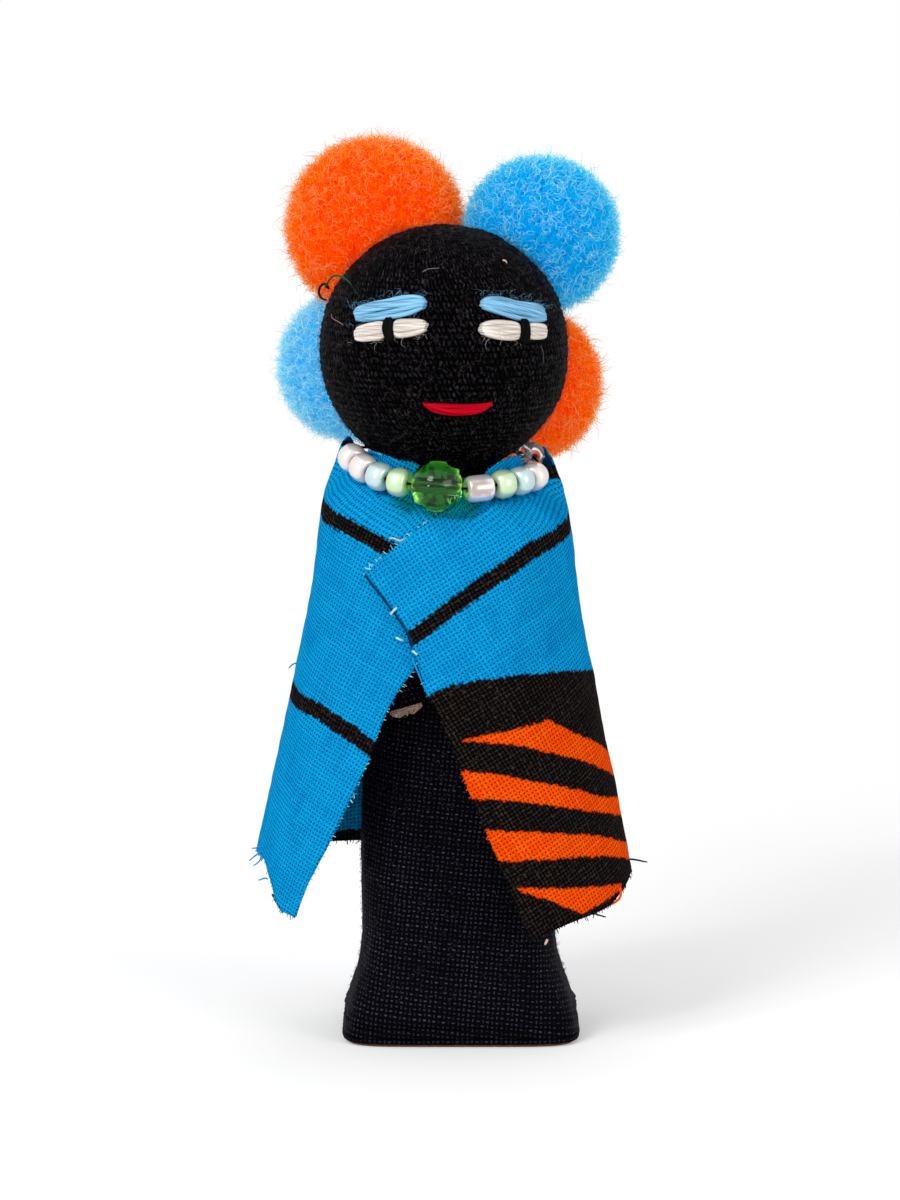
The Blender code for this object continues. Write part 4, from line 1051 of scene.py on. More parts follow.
cotton, tree, shader = new_material("printed cotton", {"Roughness": 0.8, "Specular IOR Level": 0.008})
cloth = mark(tree, "cloth")
weave = use_group(tree, WEAVE, Cloth=cloth, Pitch=WEAVE_PITCH)
edges = split_vector(tree, mark(tree, "print"))
jag = line_of(tree, weave["Shade"], 0.36, -0.18)
jag = plus(tree, jag, line_of(tree, noise(tree, cloth, 1.2), 0.3, -0.15))
is_black = spread(tree, plus(tree, edges["X"], jag), -0.2, 0.18, 1.0, 0.0)
is_orange = spread(tree, plus(tree, edges["Y"], jag), -0.18, 0.16, 1.0, 0.0)
patches = noise(tree, cloth, 0.22, 4.0, 0.6)
blue = tinted(tree, spread(tree, patches, 0.3, 0.7), (0.0, 0.253, 0.58), (0.0005, 0.33, 0.7))
blue = tinted(tree, times(tree, weave["Shade"], 0.6), blue, (0.001, 0.39, 0.79))
# The gaps between threads are painted dark blue: painted shade where the threads part.
blue = tinted(tree, weave["Gap"], blue, (0.0, 0.05, 0.19))
# Ink is painted lighter on the thread tops and dark in the gaps: a painted highlight and painted shade.
thread_top = times(tree, spread(tree, weave["Height"], 0.35, 0.9), line_of(tree, weave["Shade"], 0.7, 0.3))
ink_top = tinted(tree, spread(tree, patches, 0.4, 0.6), (0.026, 0.02, 0.02), (0.034, 0.024, 0.02))
ink = tinted(tree, thread_top, (0.0012, 0.001, 0.0012), ink_top)
specks = spread(tree, noise(tree, cloth, 1.7), 0.56, 0.8)
ink = tinted(tree, times(tree, specks, 0.4), ink, (0.13, 0.07, 0.05))
flame = tinted(tree, times(tree, weave["Shade"], 0.8), (0.88, 0.062, 0.0), (1.0, 0.13, 0.003))
# The gaps in the orange are painted dark too, as painted shade.
flame = tinted(tree, times(tree, weave["Gap"], 0.92), flame, (0.28, 0.008, 0.0))
printed = tinted(tree, is_orange, tinted(tree, is_black, blue, ink), flame)
# Along the upper flap's cut edge, above SHADED_EDGE, the cloth is painted dark blue: a painted shade line.
printed = tinted(tree, spread(tree, edges["Z"], 0.2, 0.65, 0.95, 0.0), printed, (0.0, 0.03, 0.08))
put(tree, shader.inputs["Base Color"], printed)
relief = line_of(tree, noise(tree, cloth, 9.0), 0.25, weave["Height"])
put(tree, shader.inputs["Normal"], bump(tree, relief, 0.12))

way_round = np.linspace(-60.0, 400.0, 800)  # the draped cloth is nearly a cone, whose flat shape is a piece of a fan
round_length = walked(shawl_points(way_round, np.full(800, MID_HEIGHT)))
from_front = np.interp(angles, way_round, round_length) - np.interp(0.0, way_round, round_length)
fan_turn = CONE_SLOPE * from_front / CONE_RADIUS
fan_reach = CONE_RADIUS / CONE_SLOPE + (MID_HEIGHT - heights) * math.hypot(1.0, CONE_SLOPE)
flat_x, flat_y = turned(fan_reach * np.sin(fan_turn), -fan_reach * np.cos(fan_turn), -WEAVE_TURN)
cloth_places = np.stack([flat_x, flat_y, 0 * black], -1)


def two_sided(middle, outward, thickness):
    """A sheet with both faces and closed edges over a grid of points."""
    rows, columns, _ = middle.shape
    front = middle + outward * thickness / 2
    back = middle - outward * thickness / 2
    index = np.arange(rows * columns).reshape(rows, columns)
    a, b, c, d = index[:-1, :-1], index[1:, :-1], index[1:, 1:], index[:-1, 1:]
    to_back = rows * columns
    border = np.concatenate([index[0, :-1], index[:-1, -1], index[-1, :0:-1], index[:0:-1, 0]])
    following = np.roll(border, -1)
    faces = two_triangles(a, b, c, d)
    faces += two_triangles(a + to_back, d + to_back, c + to_back, b + to_back)
    faces += two_triangles(border, following, following + to_back, border + to_back)
    return np.vstack([front.reshape(-1, 3), back.reshape(-1, 3)]), np.vstack(faces)


# The third value of 'print' is not print: it is the distance from the upper flap's cut edge, for its painted shade.
from_edge = np.where(heights > SHADED_EDGE, walked(middle, axis=1), FAR_AWAY)
marks = {
    "cloth": np.tile(cloth_places.reshape(-1, 3), (2, 1)),
    "print": np.tile(np.stack([black, orange, from_edge], -1).reshape(-1, 3), (2, 1)),
}
shawl = add_piece(
    "shawl_printed_cotton", two_sided(middle, outward, COTTON), cotton, "doll_body", ("shawl",), marks,
)

# %% [markdown]
# ## Raw edges
# The scrap was torn, so single threads of the weave stick out all along its edges, by a few tenths of a
# millimetre at each thread and further where it has frayed. They are short tubes, set along the border of the cloth
# at about the weave's own distance and coloured as the print is there.

# %% Thread ends along the border
BLUE_THREAD, PALE_THREAD = (0.003, 0.3, 0.66), (0.3, 0.72, 0.78)
INK_THREAD, FLAME_THREAD = (0.006, 0.005, 0.005), (0.86, 0.07, 0.002)
END_STEPS, END_SIDES = 4, 4
END_ROOT = 0.35  # how far inside the border a thread end starts

loose, tree, shader = new_material("loose threads", {"Roughness": 0.75, "Specular IOR Level": 0.05})
put(tree, shader.inputs["Base Color"], mark(tree, "tint", "Color"))


def at_places(places, far, rows):
    """Points of a row at some distances along it."""
    return np.stack([np.interp(places, far, rows[:, k]) for k in range(3)], -1)


def border_threads(line, inner, inks, flames, every, length, pale, seed):
    """Threads along a border: line and inner are rows of points on the edge and just inside it."""
    random = np.random.default_rng(seed)
    far = walked(line)
    at = np.arange(every / 2, far[-1], every)
    count = len(at)
    at = np.clip(at + random.uniform(-0.25, 0.25, count) * every, 0, far[-1])
    spot = at_places(at, far, line)
    out = unit(spot - at_places(at, far, inner))
    tangent = unit(at_places(at, far, np.gradient(line, axis=0)))
    way = unit(out + tangent * random.uniform(-0.5, 0.5, (count, 1)) + random.normal(0, 0.12, (count, 3)))
    long = random.uniform(0.25, 1.0, (count, 1)) ** 2 * length
    steps = np.linspace(0, 1, END_STEPS)[None, :, None]
    bend = unit(np.cross(way, random.normal(size=way.shape)))
    paths = (spot - out * END_ROOT)[:, None] + way[:, None] * (long + END_ROOT)[:, None] * steps
    paths = paths + bend[:, None] * (long[:, None] * 0.25 * steps**2)
    radii = random.uniform(0.07, 0.12, (count, 1)) * (1 - 0.45 * steps[0, :, 0][None, :])
    ink = (np.interp(at, far, inks) < 0)[:, None]
    flame = (np.interp(at, far, flames) < 0)[:, None]
    tint = np.where(flame, FLAME_THREAD, np.where(ink, INK_THREAD, BLUE_THREAD))
    share = random.random((count, 1)) < pale
    tint = np.where(share & ~ink & ~flame, PALE_THREAD, tint)
    return tubes(paths, radii, END_SIDES), np.repeat(tint, END_STEPS * END_SIDES, axis=0)


def joined(parts):
    """Several (points, faces) pairs as one."""
    points, faces, start = [], [], 0
    for some_points, some_faces in parts:
        points.append(some_points)
        faces.append(some_faces + start)
        start += len(some_points)
    return np.vstack(points), np.vstack(faces)


flap_end = int(np.searchsorted(top_angles, -4.0))
on_flap, past_flap = slice(None, flap_end), slice(flap_end, None)
every_row = slice(None)
BORDERS = (  # edge, row or column just inside it, distance between threads, longest thread, share of pale ones
    ((0, on_flap), (3, on_flap), 0.36, 0.85, 0.92),
    ((0, past_flap), (3, past_flap), 0.62, 0.32, 0.3),
    ((-1, every_row), (-4, every_row), 0.5, 0.9, 0.12),
    ((every_row, 0), (every_row, 3), 0.6, 0.5, 0.2),
    ((every_row, -1), (every_row, -4), 0.58, 0.6, 0.7),
)
shapes, tints = [], []
for number, (edge, inner, *fray) in enumerate(BORDERS):
    shape, tint = border_threads(middle[edge], middle[inner], black[edge], orange[edge], *fray, 90 + number)
    shapes.append(shape)
    tints.append(tint)
add_piece("shawl_thread_ends", joined(shapes), loose, "doll_body", marks={"tint": np.vstack(tints)})

# %% Long loose threads
TEAL_THREAD, BONE_THREAD = (0.08, 0.28, 0.34), (0.7, 0.5, 0.4)
LONG_THREADS = (  # place on the cloth (angle, height), colour, thickness, steps away from there in mm
    (325.0, 39.0, PALE_THREAD, 0.12, ((0, 0, 0), (0.35, -0.3, -0.5), (0.45, -0.4, -2.0), (0.6, -0.3, -3.6))),
    (-12.7, 55.4, BLUE_THREAD, 0.14, ((0, -0.3, 0), (0.4, -0.5, -1.2), (1.2, -0.5, -2.8), (1.8, -0.4, -4.6))),
    (281.0, 26.0, BLUE_THREAD, 0.13, ((0, 0, 0), (-0.7, 0, -0.5), (-1.2, 0, -0.7), (-2.0, 0, -1.5))),
    (281.0, 26.5, BLUE_THREAD, 0.12, ((0, 0, 0), (-0.6, 0, 0.1), (-1.2, 0, -0.3), (-1.7, 0, -0.2))),
    (283.0, 25.4, BLUE_THREAD, 0.12, ((0, 0, 0), (-0.5, 0, -0.5), (-0.8, 0, -1.2), (-1.5, 0, -1.4))),
    (296.0, 20.9, INK_THREAD, 0.14, ((0, -0.3, 0), (0.5, -0.4, -1.1), (1.0, -0.4, -1.9), (1.5, -0.3, -2.7))),
    (302.7, 20.0, INK_THREAD, 0.13, ((0, -0.2, 0), (0.6, -0.2, -1.1), (1.3, -0.1, -1.4), (1.8, 0, -2.1))),
    (291.0, 22.6, BLUE_THREAD, 0.12, ((0, 0, 0), (-0.5, 0, 0.4), (-0.9, 0, -0.2), (-1.3, 0, -0.1))),
    (272.0, 51.8, BLUE_THREAD, 0.12, ((0, 0, 0), (-0.5, 0, 0.1), (-1.0, 0, -0.2), (-1.3, 0, -0.7))),
    (87.0, 24.2, INK_THREAD, 0.14, ((-0.4, 0, 0), (0.8, -0.1, 0.1), (1.7, 0, -0.3), (2.6, 0, -0.4))),
    (82.3, 26.6, TEAL_THREAD, 0.1, ((0.1, -0.4, 0.2), (0.25, -0.5, -0.9), (0.0, -0.6, -2.1), (-0.35, -0.6, -2.9))),
    (62.0, 21.3, FLAME_THREAD, 0.19, ((0.9, -0.2, 0.6), (1.3, -0.3, -0.8), (0.7, -0.4, -1.6), (-1.9, -0.3, -2.2))),
    (50.0, 19.1, INK_THREAD, 0.13, ((-0.4, 0, 0.2), (0.2, -0.2, -0.3), (0.9, -0.2, -0.35), (1.6, -0.2, -0.6))),
    (32.5, 18.0, INK_THREAD, 0.14, ((0, 0, 0), (-0.2, -0.1, -0.7), (-0.6, -0.1, -1.4), (-0.9, -0.1, -2.1))),
    (32.5, 16.4, BONE_THREAD, 0.2, ((-0.75, 0, -0.1), (-0.9, -0.1, -0.4), (-0.95, -0.1, -0.6), (-1.1, -0.1, -0.8))),
    (-21.5, 70.9, BONE_THREAD, 0.12, ((0.9, -0.5, 0.2), (0.2, -0.6, -0.1), (-0.2, -0.6, 0.7), (-0.9, -0.5, 0.4))),
    (-33.0, 66.9, PALE_THREAD, 0.1, ((0, -0.3, 0), (-0.3, -0.5, 0.2), (-0.5, -0.4, 0.0), (-0.8, -0.3, 0.3))),
)


def curved_threads(corners, thickness, tints):
    """Tubes along smooth curves that four corners pull on, with a colour for each of their points."""
    t = np.linspace(0, 1, 18)[None, :, None]
    pulls = ((1 - t) ** 3, 3 * (1 - t) ** 2 * t, 3 * (1 - t) * t**2, t**3)
    corners = np.asarray(corners, float)
    paths = sum(pull * corners[:, k, None] for k, pull in enumerate(pulls))
    radii = np.array(thickness)[:, None] * (1 - 0.35 * t[..., 0] ** 3)
    return tubes(paths, radii, 5), np.repeat(tints, 18 * 5, axis=0)


corners, thicknesses, colours = [], [], []
for angle, height, colour, thickness, away in LONG_THREADS:
    corners.append(shawl_points(np.array([angle]), np.array([height])) + np.array(away, float))
    thicknesses.append(thickness)
    colours.append(colour)
shape, tint = curved_threads(corners, thicknesses, colours)
add_piece("shawl_loose_threads", shape, loose, "doll_body", marks={"tint": tint})

# %% [markdown]
# ## Sleeves and hands
# Each arm is a thin sleeve of the body's cloth, stuffed a little and sewn on at the shoulder, with a rag of tan
# cloth for a hand. Both hang close to the body under the shawl. Only the right hand's end shows, where the sleeve is
# gathered in pleats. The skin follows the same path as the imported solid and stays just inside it.

# %% Both arms
ARM_THICK, ARM_WIDTH = 3.3, 6.4
ARM_SHOULDER, ARM_END = (76.0, 71.5), (29.5, 47.9)  # angle from the front and height
HAND_LENGTH = 1.6
SLEEVE_RINGS, HAND_RINGS, SLEEVE_SIDES = 60, 14, 96
SLEEVE_SWELL = ((0.0, 0.6), (0.06, 0.8), (0.14, 0.93), (0.5, 0.94), (1.0, 0.99))
HAND_SWELL = ((0.0, 0.84), (0.5, 0.82), (0.85, 0.62), (1.0, 0.4))
SLEEVE_PLEATS, HAND_PLEATS = 9, 13

tan, tree, shader = new_material("tan cloth", {"Roughness": 0.85, "Specular IOR Level": 0.2})
weave = use_group(tree, WEAVE, Cloth=mark(tree, "cloth"), Pitch=0.42)
threads = tinted(tree, weave["Shade"], (0.42, 0.27, 0.19), (0.8, 0.6, 0.48))
# The gaps between threads are painted dark: painted shade where the threads part.
put(tree, shader.inputs["Base Color"], tinted(tree, weave["Gap"], threads, (0.16, 0.09, 0.06)))
put(tree, shader.inputs["Normal"], bump(tree, weave["Height"], 0.12))


def arm_ways(side, share):
    """Centres of the arm at shares of its length, and the directions away from the body."""
    angle = side * mix(ARM_SHOULDER[0], ARM_END[0], share**0.6)
    z = mix(ARM_SHOULDER[1], ARM_END[1], share)
    half_width, half_depth, power = np.moveaxis(along(BODY_PROFILE, z - BODY_FOOT), -1, 0)
    turn = np.radians(angle)
    wide, deep = np.abs(np.sin(turn)) / half_width, np.abs(np.cos(turn)) / half_depth
    reach = (wide**power + deep**power) ** (-1 / power) + 1.3 * GAP + ARM_THICK / 2
    out = np.stack([np.sin(turn), -np.cos(turn), 0 * turn], -1)
    centre = np.stack([along(BODY_LEAN, z - BODY_FOOT), 0 * z, z], -1) + out * reach[:, None]
    return centre, out


def arm_skin(centre, out, way, thick, wide, pleats, depth):
    """Rings round the arm's line, with pleats that cut in by a share of the size."""
    across = unit(np.cross(way, out))
    out = unit(np.cross(across, way))
    turn = full_turn(SLEEVE_SIDES)
    fold = 1 - depth[:, None] * (0.5 + 0.5 * np.cos(pleats * turn + 1.3 * np.sin(2 * turn)))
    grid = centre[:, None] + out[:, None] * (np.sin(turn) * thick[:, None] / 2 * fold)[..., None]
    return grid + across[:, None] * (np.cos(turn) * wide[:, None] / 2 * fold)[..., None]


def add_arm_piece(name, grid, finish, body, node):
    """A sleeve or a hand from its rings, with its cloth laid round it."""
    grid = grid[:, ::-1]
    down = walked(grid.mean(axis=1))[:, None] * np.ones(SLEEVE_SIDES)
    piece = add_piece(name, skin(grid), finish, body, (node,), cloth_of_skin(walked(grid, axis=1), down))


turn = full_turn(SLEEVE_SIDES)
for side, word in ((-1, "right"), (1, "left")):
    share = np.linspace(0.0, 1.0, SLEEVE_RINGS)
    centre, out = arm_ways(side, share)
    way = unit(np.gradient(centre, axis=0))
    swell = along(SLEEVE_SWELL, share)
    depth = 0.03 + 0.2 * smooth(share, 0.55, 1.0) + 0.2 * smooth(share, 0.15, 0.0)
    grid = arm_skin(centre, out, way, ARM_THICK * swell, ARM_WIDTH * swell, SLEEVE_PLEATS, depth)
    add_arm_piece("sleeve_" + word, grid, navy, "doll_arm_" + word, "arm_" + word)

    end, end_way, end_out = centre[-1], way[-1], out[-1]
    share = np.linspace(0.0, 1.0, HAND_RINGS)
    spots = end + end_way * (GAP + HAND_LENGTH * 0.75 * share)[:, None]
    swell = along(HAND_SWELL, share)
    same = np.ones((HAND_RINGS, 1))
    thick, wide = ARM_THICK * swell * 0.8, ARM_WIDTH * swell
    grid = arm_skin(spots, end_out * same, end_way * same, thick, wide, HAND_PLEATS, 0.05 + 0.25 * share)
    torn = 0.22 * np.sin(5 * turn + side) + 0.18 * np.sin(11 * turn + 1.0) - 0.3
    grid = grid + end_way * (torn * (share**2)[:, None])[..., None]
    add_arm_piece("hand_rag_" + word, grid, tan, "doll_arm_" + word, "hand_" + word)

# %% [markdown]
# ## Embroidered face
# Each feature is satin stitch: a few strands of soft thread laid side by side through the knit. A strand is some
# twenty fine fibres twisted round a core, so it catches the light in long streaks; the streaks are also painted, the
# upper side of each strand lighter and its underside darker. The black stitch over each white pulls it tight and
# splits it in two. All of them follow the ball.

# %% Strands on the ball
FIBRES_IN_STRAND, STRAND_SIDES, STRAND_STEPS = 20, 5, 26
STRAND_CORE, STRAND_FIBRE = 0.78, 0.065  # the core's share of a strand's size, and a fibre's radius in mm
PINCH, PINCH_REACH = 0.66, 0.75  # how much a pupil's stitch narrows its white, and over what length


def face_points(azimuth, elevation, u, v, lift):
    """Points over the ball, u and v along its surface from a place given by two angles."""
    a, e = math.radians(azimuth), math.radians(elevation)
    out = np.array((math.sin(a) * math.cos(e), -math.cos(a) * math.cos(e), math.sin(e)))
    across = np.array((math.cos(a), math.sin(a), 0.0))
    up = np.cross(out, across)
    way = u[..., None] * across + v[..., None] * up
    far = np.linalg.norm(way, axis=-1, keepdims=True)
    turn = far / HEAD_RADIUS
    place = out * np.cos(turn) + way / np.maximum(far, 1e-9) * np.sin(turn)
    return HEAD_CENTRE + place * (HEAD_RADIUS + lift[..., None])


def stitched(place, half_length, half_width, tilt, bend, strands, lift, rise, pinch, taper, seed):
    """A bar of twisted strands: the shape and marks of cores and fibres together."""
    random = np.random.default_rng(seed)
    at = np.linspace(-1.0, 1.0, STRAND_STEPS)
    paths, radii, along_marks, chances = [], [], [], []
    for k in range(strands):
        row = (k + 0.5) / strands * 2 - 1
        long = half_length * random.uniform(0.95, 1.0) * (1 - 0.07 * abs(row) ** 3)
        u = at * long + random.uniform(-0.12, 0.12)
        narrow = 1 - taper * np.abs(at) ** (4 if taper < 0.7 else 2)
        hold = 0.0 if pinch is None else np.exp(-(((u - pinch) / PINCH_REACH) ** 2))
        v = row * half_width * 0.82 * narrow * (1 - PINCH * hold) + bend * (u * u - half_length**2 / 2)
        v = v + random.uniform(-0.06, 0.06)
        v = v + 0.11 * (1 - at**4) * np.sin(at * random.uniform(2.0, 4.5) + random.uniform(0, 6))
        size = half_width / strands * 1.05 * (1 - 0.35 * hold) * (1 - 0.55 * np.abs(at) ** 6)
        height = lift + size * 0.75 + rise * (1 - row**2) * (1 - np.abs(at) ** 3) * (1 - 0.8 * hold)
        height = height - (lift + size + 0.25) * smooth(np.abs(at), 0.9, 1.0)
        twist = random.uniform(0, 6) + at * half_length * random.uniform(0.35, 0.6)
        for j in range(FIBRES_IN_STRAND + 1):
            is_core = j == FIBRES_IN_STRAND
            angle = twist + 2 * np.pi * j / FIBRES_IN_STRAND
            off = 0.0 if is_core else size * random.uniform(0.78, 1.0)
            flat = turned(u, v + off * np.cos(angle), math.radians(tilt))
            paths.append(face_points(*place, *flat, height + off * np.sin(angle) * 0.8))
            radii.append(size * STRAND_CORE if is_core else STRAND_FIBRE + 0 * size)
            # Fibres on a strand's upper side take the tip colour, and those underneath and the core take the root
            # colour: a painted highlight along each strand's top and painted shade under and between the strands.
            pale = np.clip(0.5 + 0.5 * np.sin(angle), 0, 1) ** 1.6
            along_marks.append(np.full(STRAND_STEPS, 0.1) if is_core else pale)
            chances.append(random.random())
    marks = {
        "along": np.repeat(np.array(along_marks).ravel(), STRAND_SIDES),
        "chance": np.repeat(chances, STRAND_SIDES * STRAND_STEPS),
    }
    return tubes(np.array(paths), np.array(radii), STRAND_SIDES), marks


# On the face's strands the root colour is painted shade and the tip colour a painted highlight.
THREADS = {
    "pale_blue_thread": fibre_material("pale blue thread", (0.006, 0.11, 0.27), (0.24, 0.53, 0.76), 0.4, 0.6),
    "cream_thread": fibre_material("cream thread", (0.12, 0.085, 0.065), (0.82, 0.75, 0.68), 0.22, 0.6),
    "red_thread": fibre_material("red thread", (0.15, 0.0, 0.003), (0.54, 0.001, 0.014), 0.35, 0.5, 0.03),
    "black_thread": fibre_material("black thread", (0.0006, 0.0005, 0.0007), (0.004, 0.0038, 0.0046), 0.5, 0.6, 0.03),
}
LID, WHITE, PUPIL = (0.15, 0.3), (0.12, 0.25), (0.55, 0.15)  # lift over the ball and rise of the middle strands
RIGHT_LID, LEFT_LID, MOUTH = (-29.0, 23.4), (38.4, 22.6), (7.0, -21.6)  # azimuth and elevation on the ball
RIGHT_WHITE, LEFT_WHITE = (-26.9, 13.7), (35.9, 12.9)
RIGHT_PUPIL, LEFT_PUPIL = (-25.5, 13.5), (38.6, 12.0)
FACE = (  # name, thread, place, half length, half width, tilt, bend, strands, lift and rise, pinch, taper
    ("eyelid_right", "pale_blue_thread", RIGHT_LID, 5.7, 1.62, 12.1, 0.0162, 5, *LID, None, 0.52),
    ("eyelid_left", "pale_blue_thread", LEFT_LID, 5.8, 1.58, -12.2, 0.0168, 5, *LID, None, 0.52),
    ("mouth", "red_thread", MOUTH, 4.95, 1.0, 0.0, 0.024, 4, *LID, None, 0.85),
    ("eye_white_right", "cream_thread", RIGHT_WHITE, 5.82, 1.46, 8.4, 0.0094, 4, *WHITE, 0.4, 0.5),
    ("eye_white_left", "cream_thread", LEFT_WHITE, 5.89, 1.46, -5.1, 0.0086, 4, *WHITE, 0.85, 0.5),
    ("pupil_right", "black_thread", RIGHT_PUPIL, 1.74, 0.87, 103.7, 0.0, 3, *PUPIL, None, 0.42),
    ("pupil_left", "black_thread", LEFT_PUPIL, 1.74, 0.89, 75.8, 0.0, 3, *PUPIL, None, 0.42),
)
for number, (name, thread, *form) in enumerate(FACE):
    shape, marks = stitched(*form, 200 + number)
    add_piece(name + "_strands", shape, THREADS[thread], "doll_head", (name,), marks)

# %% Fuzz and loose threads on the face
FUZZ_LIFT = 0.35
FUZZ = (  # name, thread, place, half length, tilt, side of the bar, count
    ("eyelid_right_fuzz_above", "pale_blue_thread", RIGHT_LID, 5.7, 12.1, 1.35, 44),
    ("eyelid_left_fuzz_above", "pale_blue_thread", LEFT_LID, 5.8, -12.2, 1.35, 40),
    ("eyelid_right_fuzz_below", "pale_blue_thread", RIGHT_LID, 5.7, 12.1, -1.3, 10),
    ("eye_white_right_fuzz", "cream_thread", RIGHT_WHITE, 5.8, 8.4, -1.2, 14),
    ("eye_white_left_fuzz", "cream_thread", LEFT_WHITE, 5.9, -5.1, -1.2, 10),
)
for number, (name, thread, place, half_length, tilt, aside, count) in enumerate(FUZZ):
    random = np.random.default_rng(400 + number)
    u, v = random.uniform(-1, 1, count) * half_length, aside * random.uniform(0.6, 1.0, count)
    root, beyond = (
        face_points(*place, *turned(u, v * far, math.radians(tilt)), 0 * u + FUZZ_LIFT) for far in (1, 2)
    )
    outward = unit(root - HEAD_CENTRE) * 0.5 + unit(beyond - root) * 0.8 + random.normal(0, 0.4, (count, 3))
    shape, marks = curly_fibres(root, unit(outward), 1.1, 0.7, 0.019, 420 + number, 9, 0.9, 0.5, 0.25)
    add_piece(name, shape, THREADS[thread], "doll_head", marks=marks)

HEAD_THREADS = (  # colour, thickness, places on the ball (azimuth, elevation, height over it)
    ((0.008, 0.09, 0.03), 0.16, ((-90.0, 27.5, 1.2), (-84.0, 35.5, 2.0), (-70.0, 36.0, 1.0), (-59.0, 33.0, 0.4))),
    ((0.004, 0.03, 0.014), 0.08, ((-62.0, 33.6, 0.6), (-56.0, 32.0, 0.3), (-51.0, 29.0, 0.3), (-48.0, 27.5, 0.2))),
    ((0.004, 0.004, 0.005), 0.2, ((-88.0, 28.0, 0.8), (-98.0, 31.0, 2.6), (-99.0, 20.0, 2.6), (-86.0, 23.0, 0.4))),
    ((0.75, 0.45, 0.4), 0.12, ((44.0, 48.2, 0.1), (44.6, 47.8, 0.3), (45.4, 47.0, 0.3), (45.8, 46.4, 0.1))),
    ((0.3, 0.24, 0.2), 0.05, ((-54.0, 14.0, 0.3), (-58.0, 16.0, 0.7), (-62.0, 15.0, 0.9), (-64.0, 18.0, 0.8))),
    ((0.2, 0.2, 0.24), 0.05, ((-13.0, 42.0, 0.2), (-10.0, 44.0, 0.5), (-6.0, 43.0, 0.5), (-3.0, 44.5, 0.2))),
    ((0.09, 0.1, 0.13), 0.045, ((49.0, 5.0, 0.2), (51.0, 2.5, 0.4), (50.0, 0.0, 0.4), (51.0, -3.0, 0.2))),
)
colours, thicknesses, places = zip(*HEAD_THREADS)
shape, tint = curved_threads([on_head(*np.array(row).T) for row in places], thicknesses, colours)
add_piece("head_loose_threads", shape, loose, "doll_head", marks={"tint": tint})

# %% [markdown]
# ## Necklace
# The necklace is a thread through nine glass beads in front and one behind the knot. Each bead is turned as on a
# lathe: a rounded outside and a bore, joined by small bevels. Pearl beads have a milky coat, and their colour is
# painted brighter where it faces the eye and darker towards the outline: a painted sheen. The large one is green
# glass with cut facets, and the silver one has a lining whose shine is painted: brownish where it faces the eye and
# pale towards the outline, a painted reflection.

# %% Bead finishes


def pearl(name, face, rim, sheen, span=0.9):
    """Glass with a pearl coat: one colour where it faces the eye and another towards its outline, as painted sheen and
    reflection.
    """
    made, tree, shader = new_material(name, {
        "Roughness": 0.3, "Coat Weight": 1.0, "Coat Roughness": 0.02, "Metallic": sheen, "Specular IOR Level": 0.5,
    })
    look = tree.nodes.new("ShaderNodeLayerWeight")
    look.inputs["Blend"].default_value = 0.35
    cloud = line_of(tree, noise(tree, own_place(tree), 900.0), 0.3, -0.15)
    share = spread(tree, plus(tree, look.outputs["Facing"], cloud), 0.05, span)
    put(tree, shader.inputs["Base Color"], tinted(tree, share, face, rim))
    return made


def glass(name, colour, roughness, bending, clearness):
    return new_material(name, {
        "Base Color": colour, "Roughness": roughness, "IOR": bending, "Transmission Weight": clearness,
    })[0]


BEAD_FINISH = {
    "pearl_white": pearl("white pearl", (0.86, 0.79, 0.76), (0.6, 0.56, 0.57), 0.3),
    "pearl_aqua": pearl("aqua pearl", (0.57, 0.74, 0.74), (0.4, 0.56, 0.58), 0.35),
    "pearl_green": pearl("green pearl", (0.6, 0.8, 0.5), (0.4, 0.6, 0.38), 0.35),
    # The silver bead is painted brownish where it faces the eye and pale towards its outline: a painted reflection.
    "silver_bead": pearl("silver bead", (0.5, 0.39, 0.37), (0.9, 0.88, 0.9), 0.6, 0.28),
    "clear_bead": glass("clear glass", (0.93, 0.93, 0.96, 1.0), 0.06, 1.5, 0.9),
    "green_glass": glass("green glass", (0.24, 0.8, 0.07, 1.0), 0.01, 1.36, 1.0),
}
print("bead finishes:", len(BEAD_FINISH))

# %% Beads on the thread
CLEAR_BEAD_PAST = 9.0  # degrees past the collar's crossing


def bead_shape(angle, radius, length, bore, squareness, sides, steps, faceted=False):
    """A bead round the thread's own direction at an angle of the loop."""
    place = loop_points(angle)
    way = unit(loop_points(angle + 4.0) - loop_points(angle - 4.0))
    side = unit(np.cross(way, (0.0, 0.0, 1.0)))
    up = np.cross(way, side)
    rim = bore + (0.25 if faceted else 0.2)
    share = np.sin(np.radians(np.linspace(-90, 90, steps)))
    r = rim + (radius - rim) * (1 - np.abs(share) ** squareness) ** (1 / squareness)
    bore_end = length / 2 - 0.12
    profile = np.vstack([[(bore, -bore_end)], np.stack([r, share * length / 2], -1), [(bore, bore_end)]])
    shift = np.where(np.arange(len(profile)) % 2 == 1, np.pi / sides, 0.0) * faceted
    turn = full_turn(sides) + shift[:, None]
    ring = side * np.cos(turn)[..., None] + up * np.sin(turn)[..., None]
    return place + way * profile[:, 1][:, None, None] + ring * profile[:, 0][:, None, None]


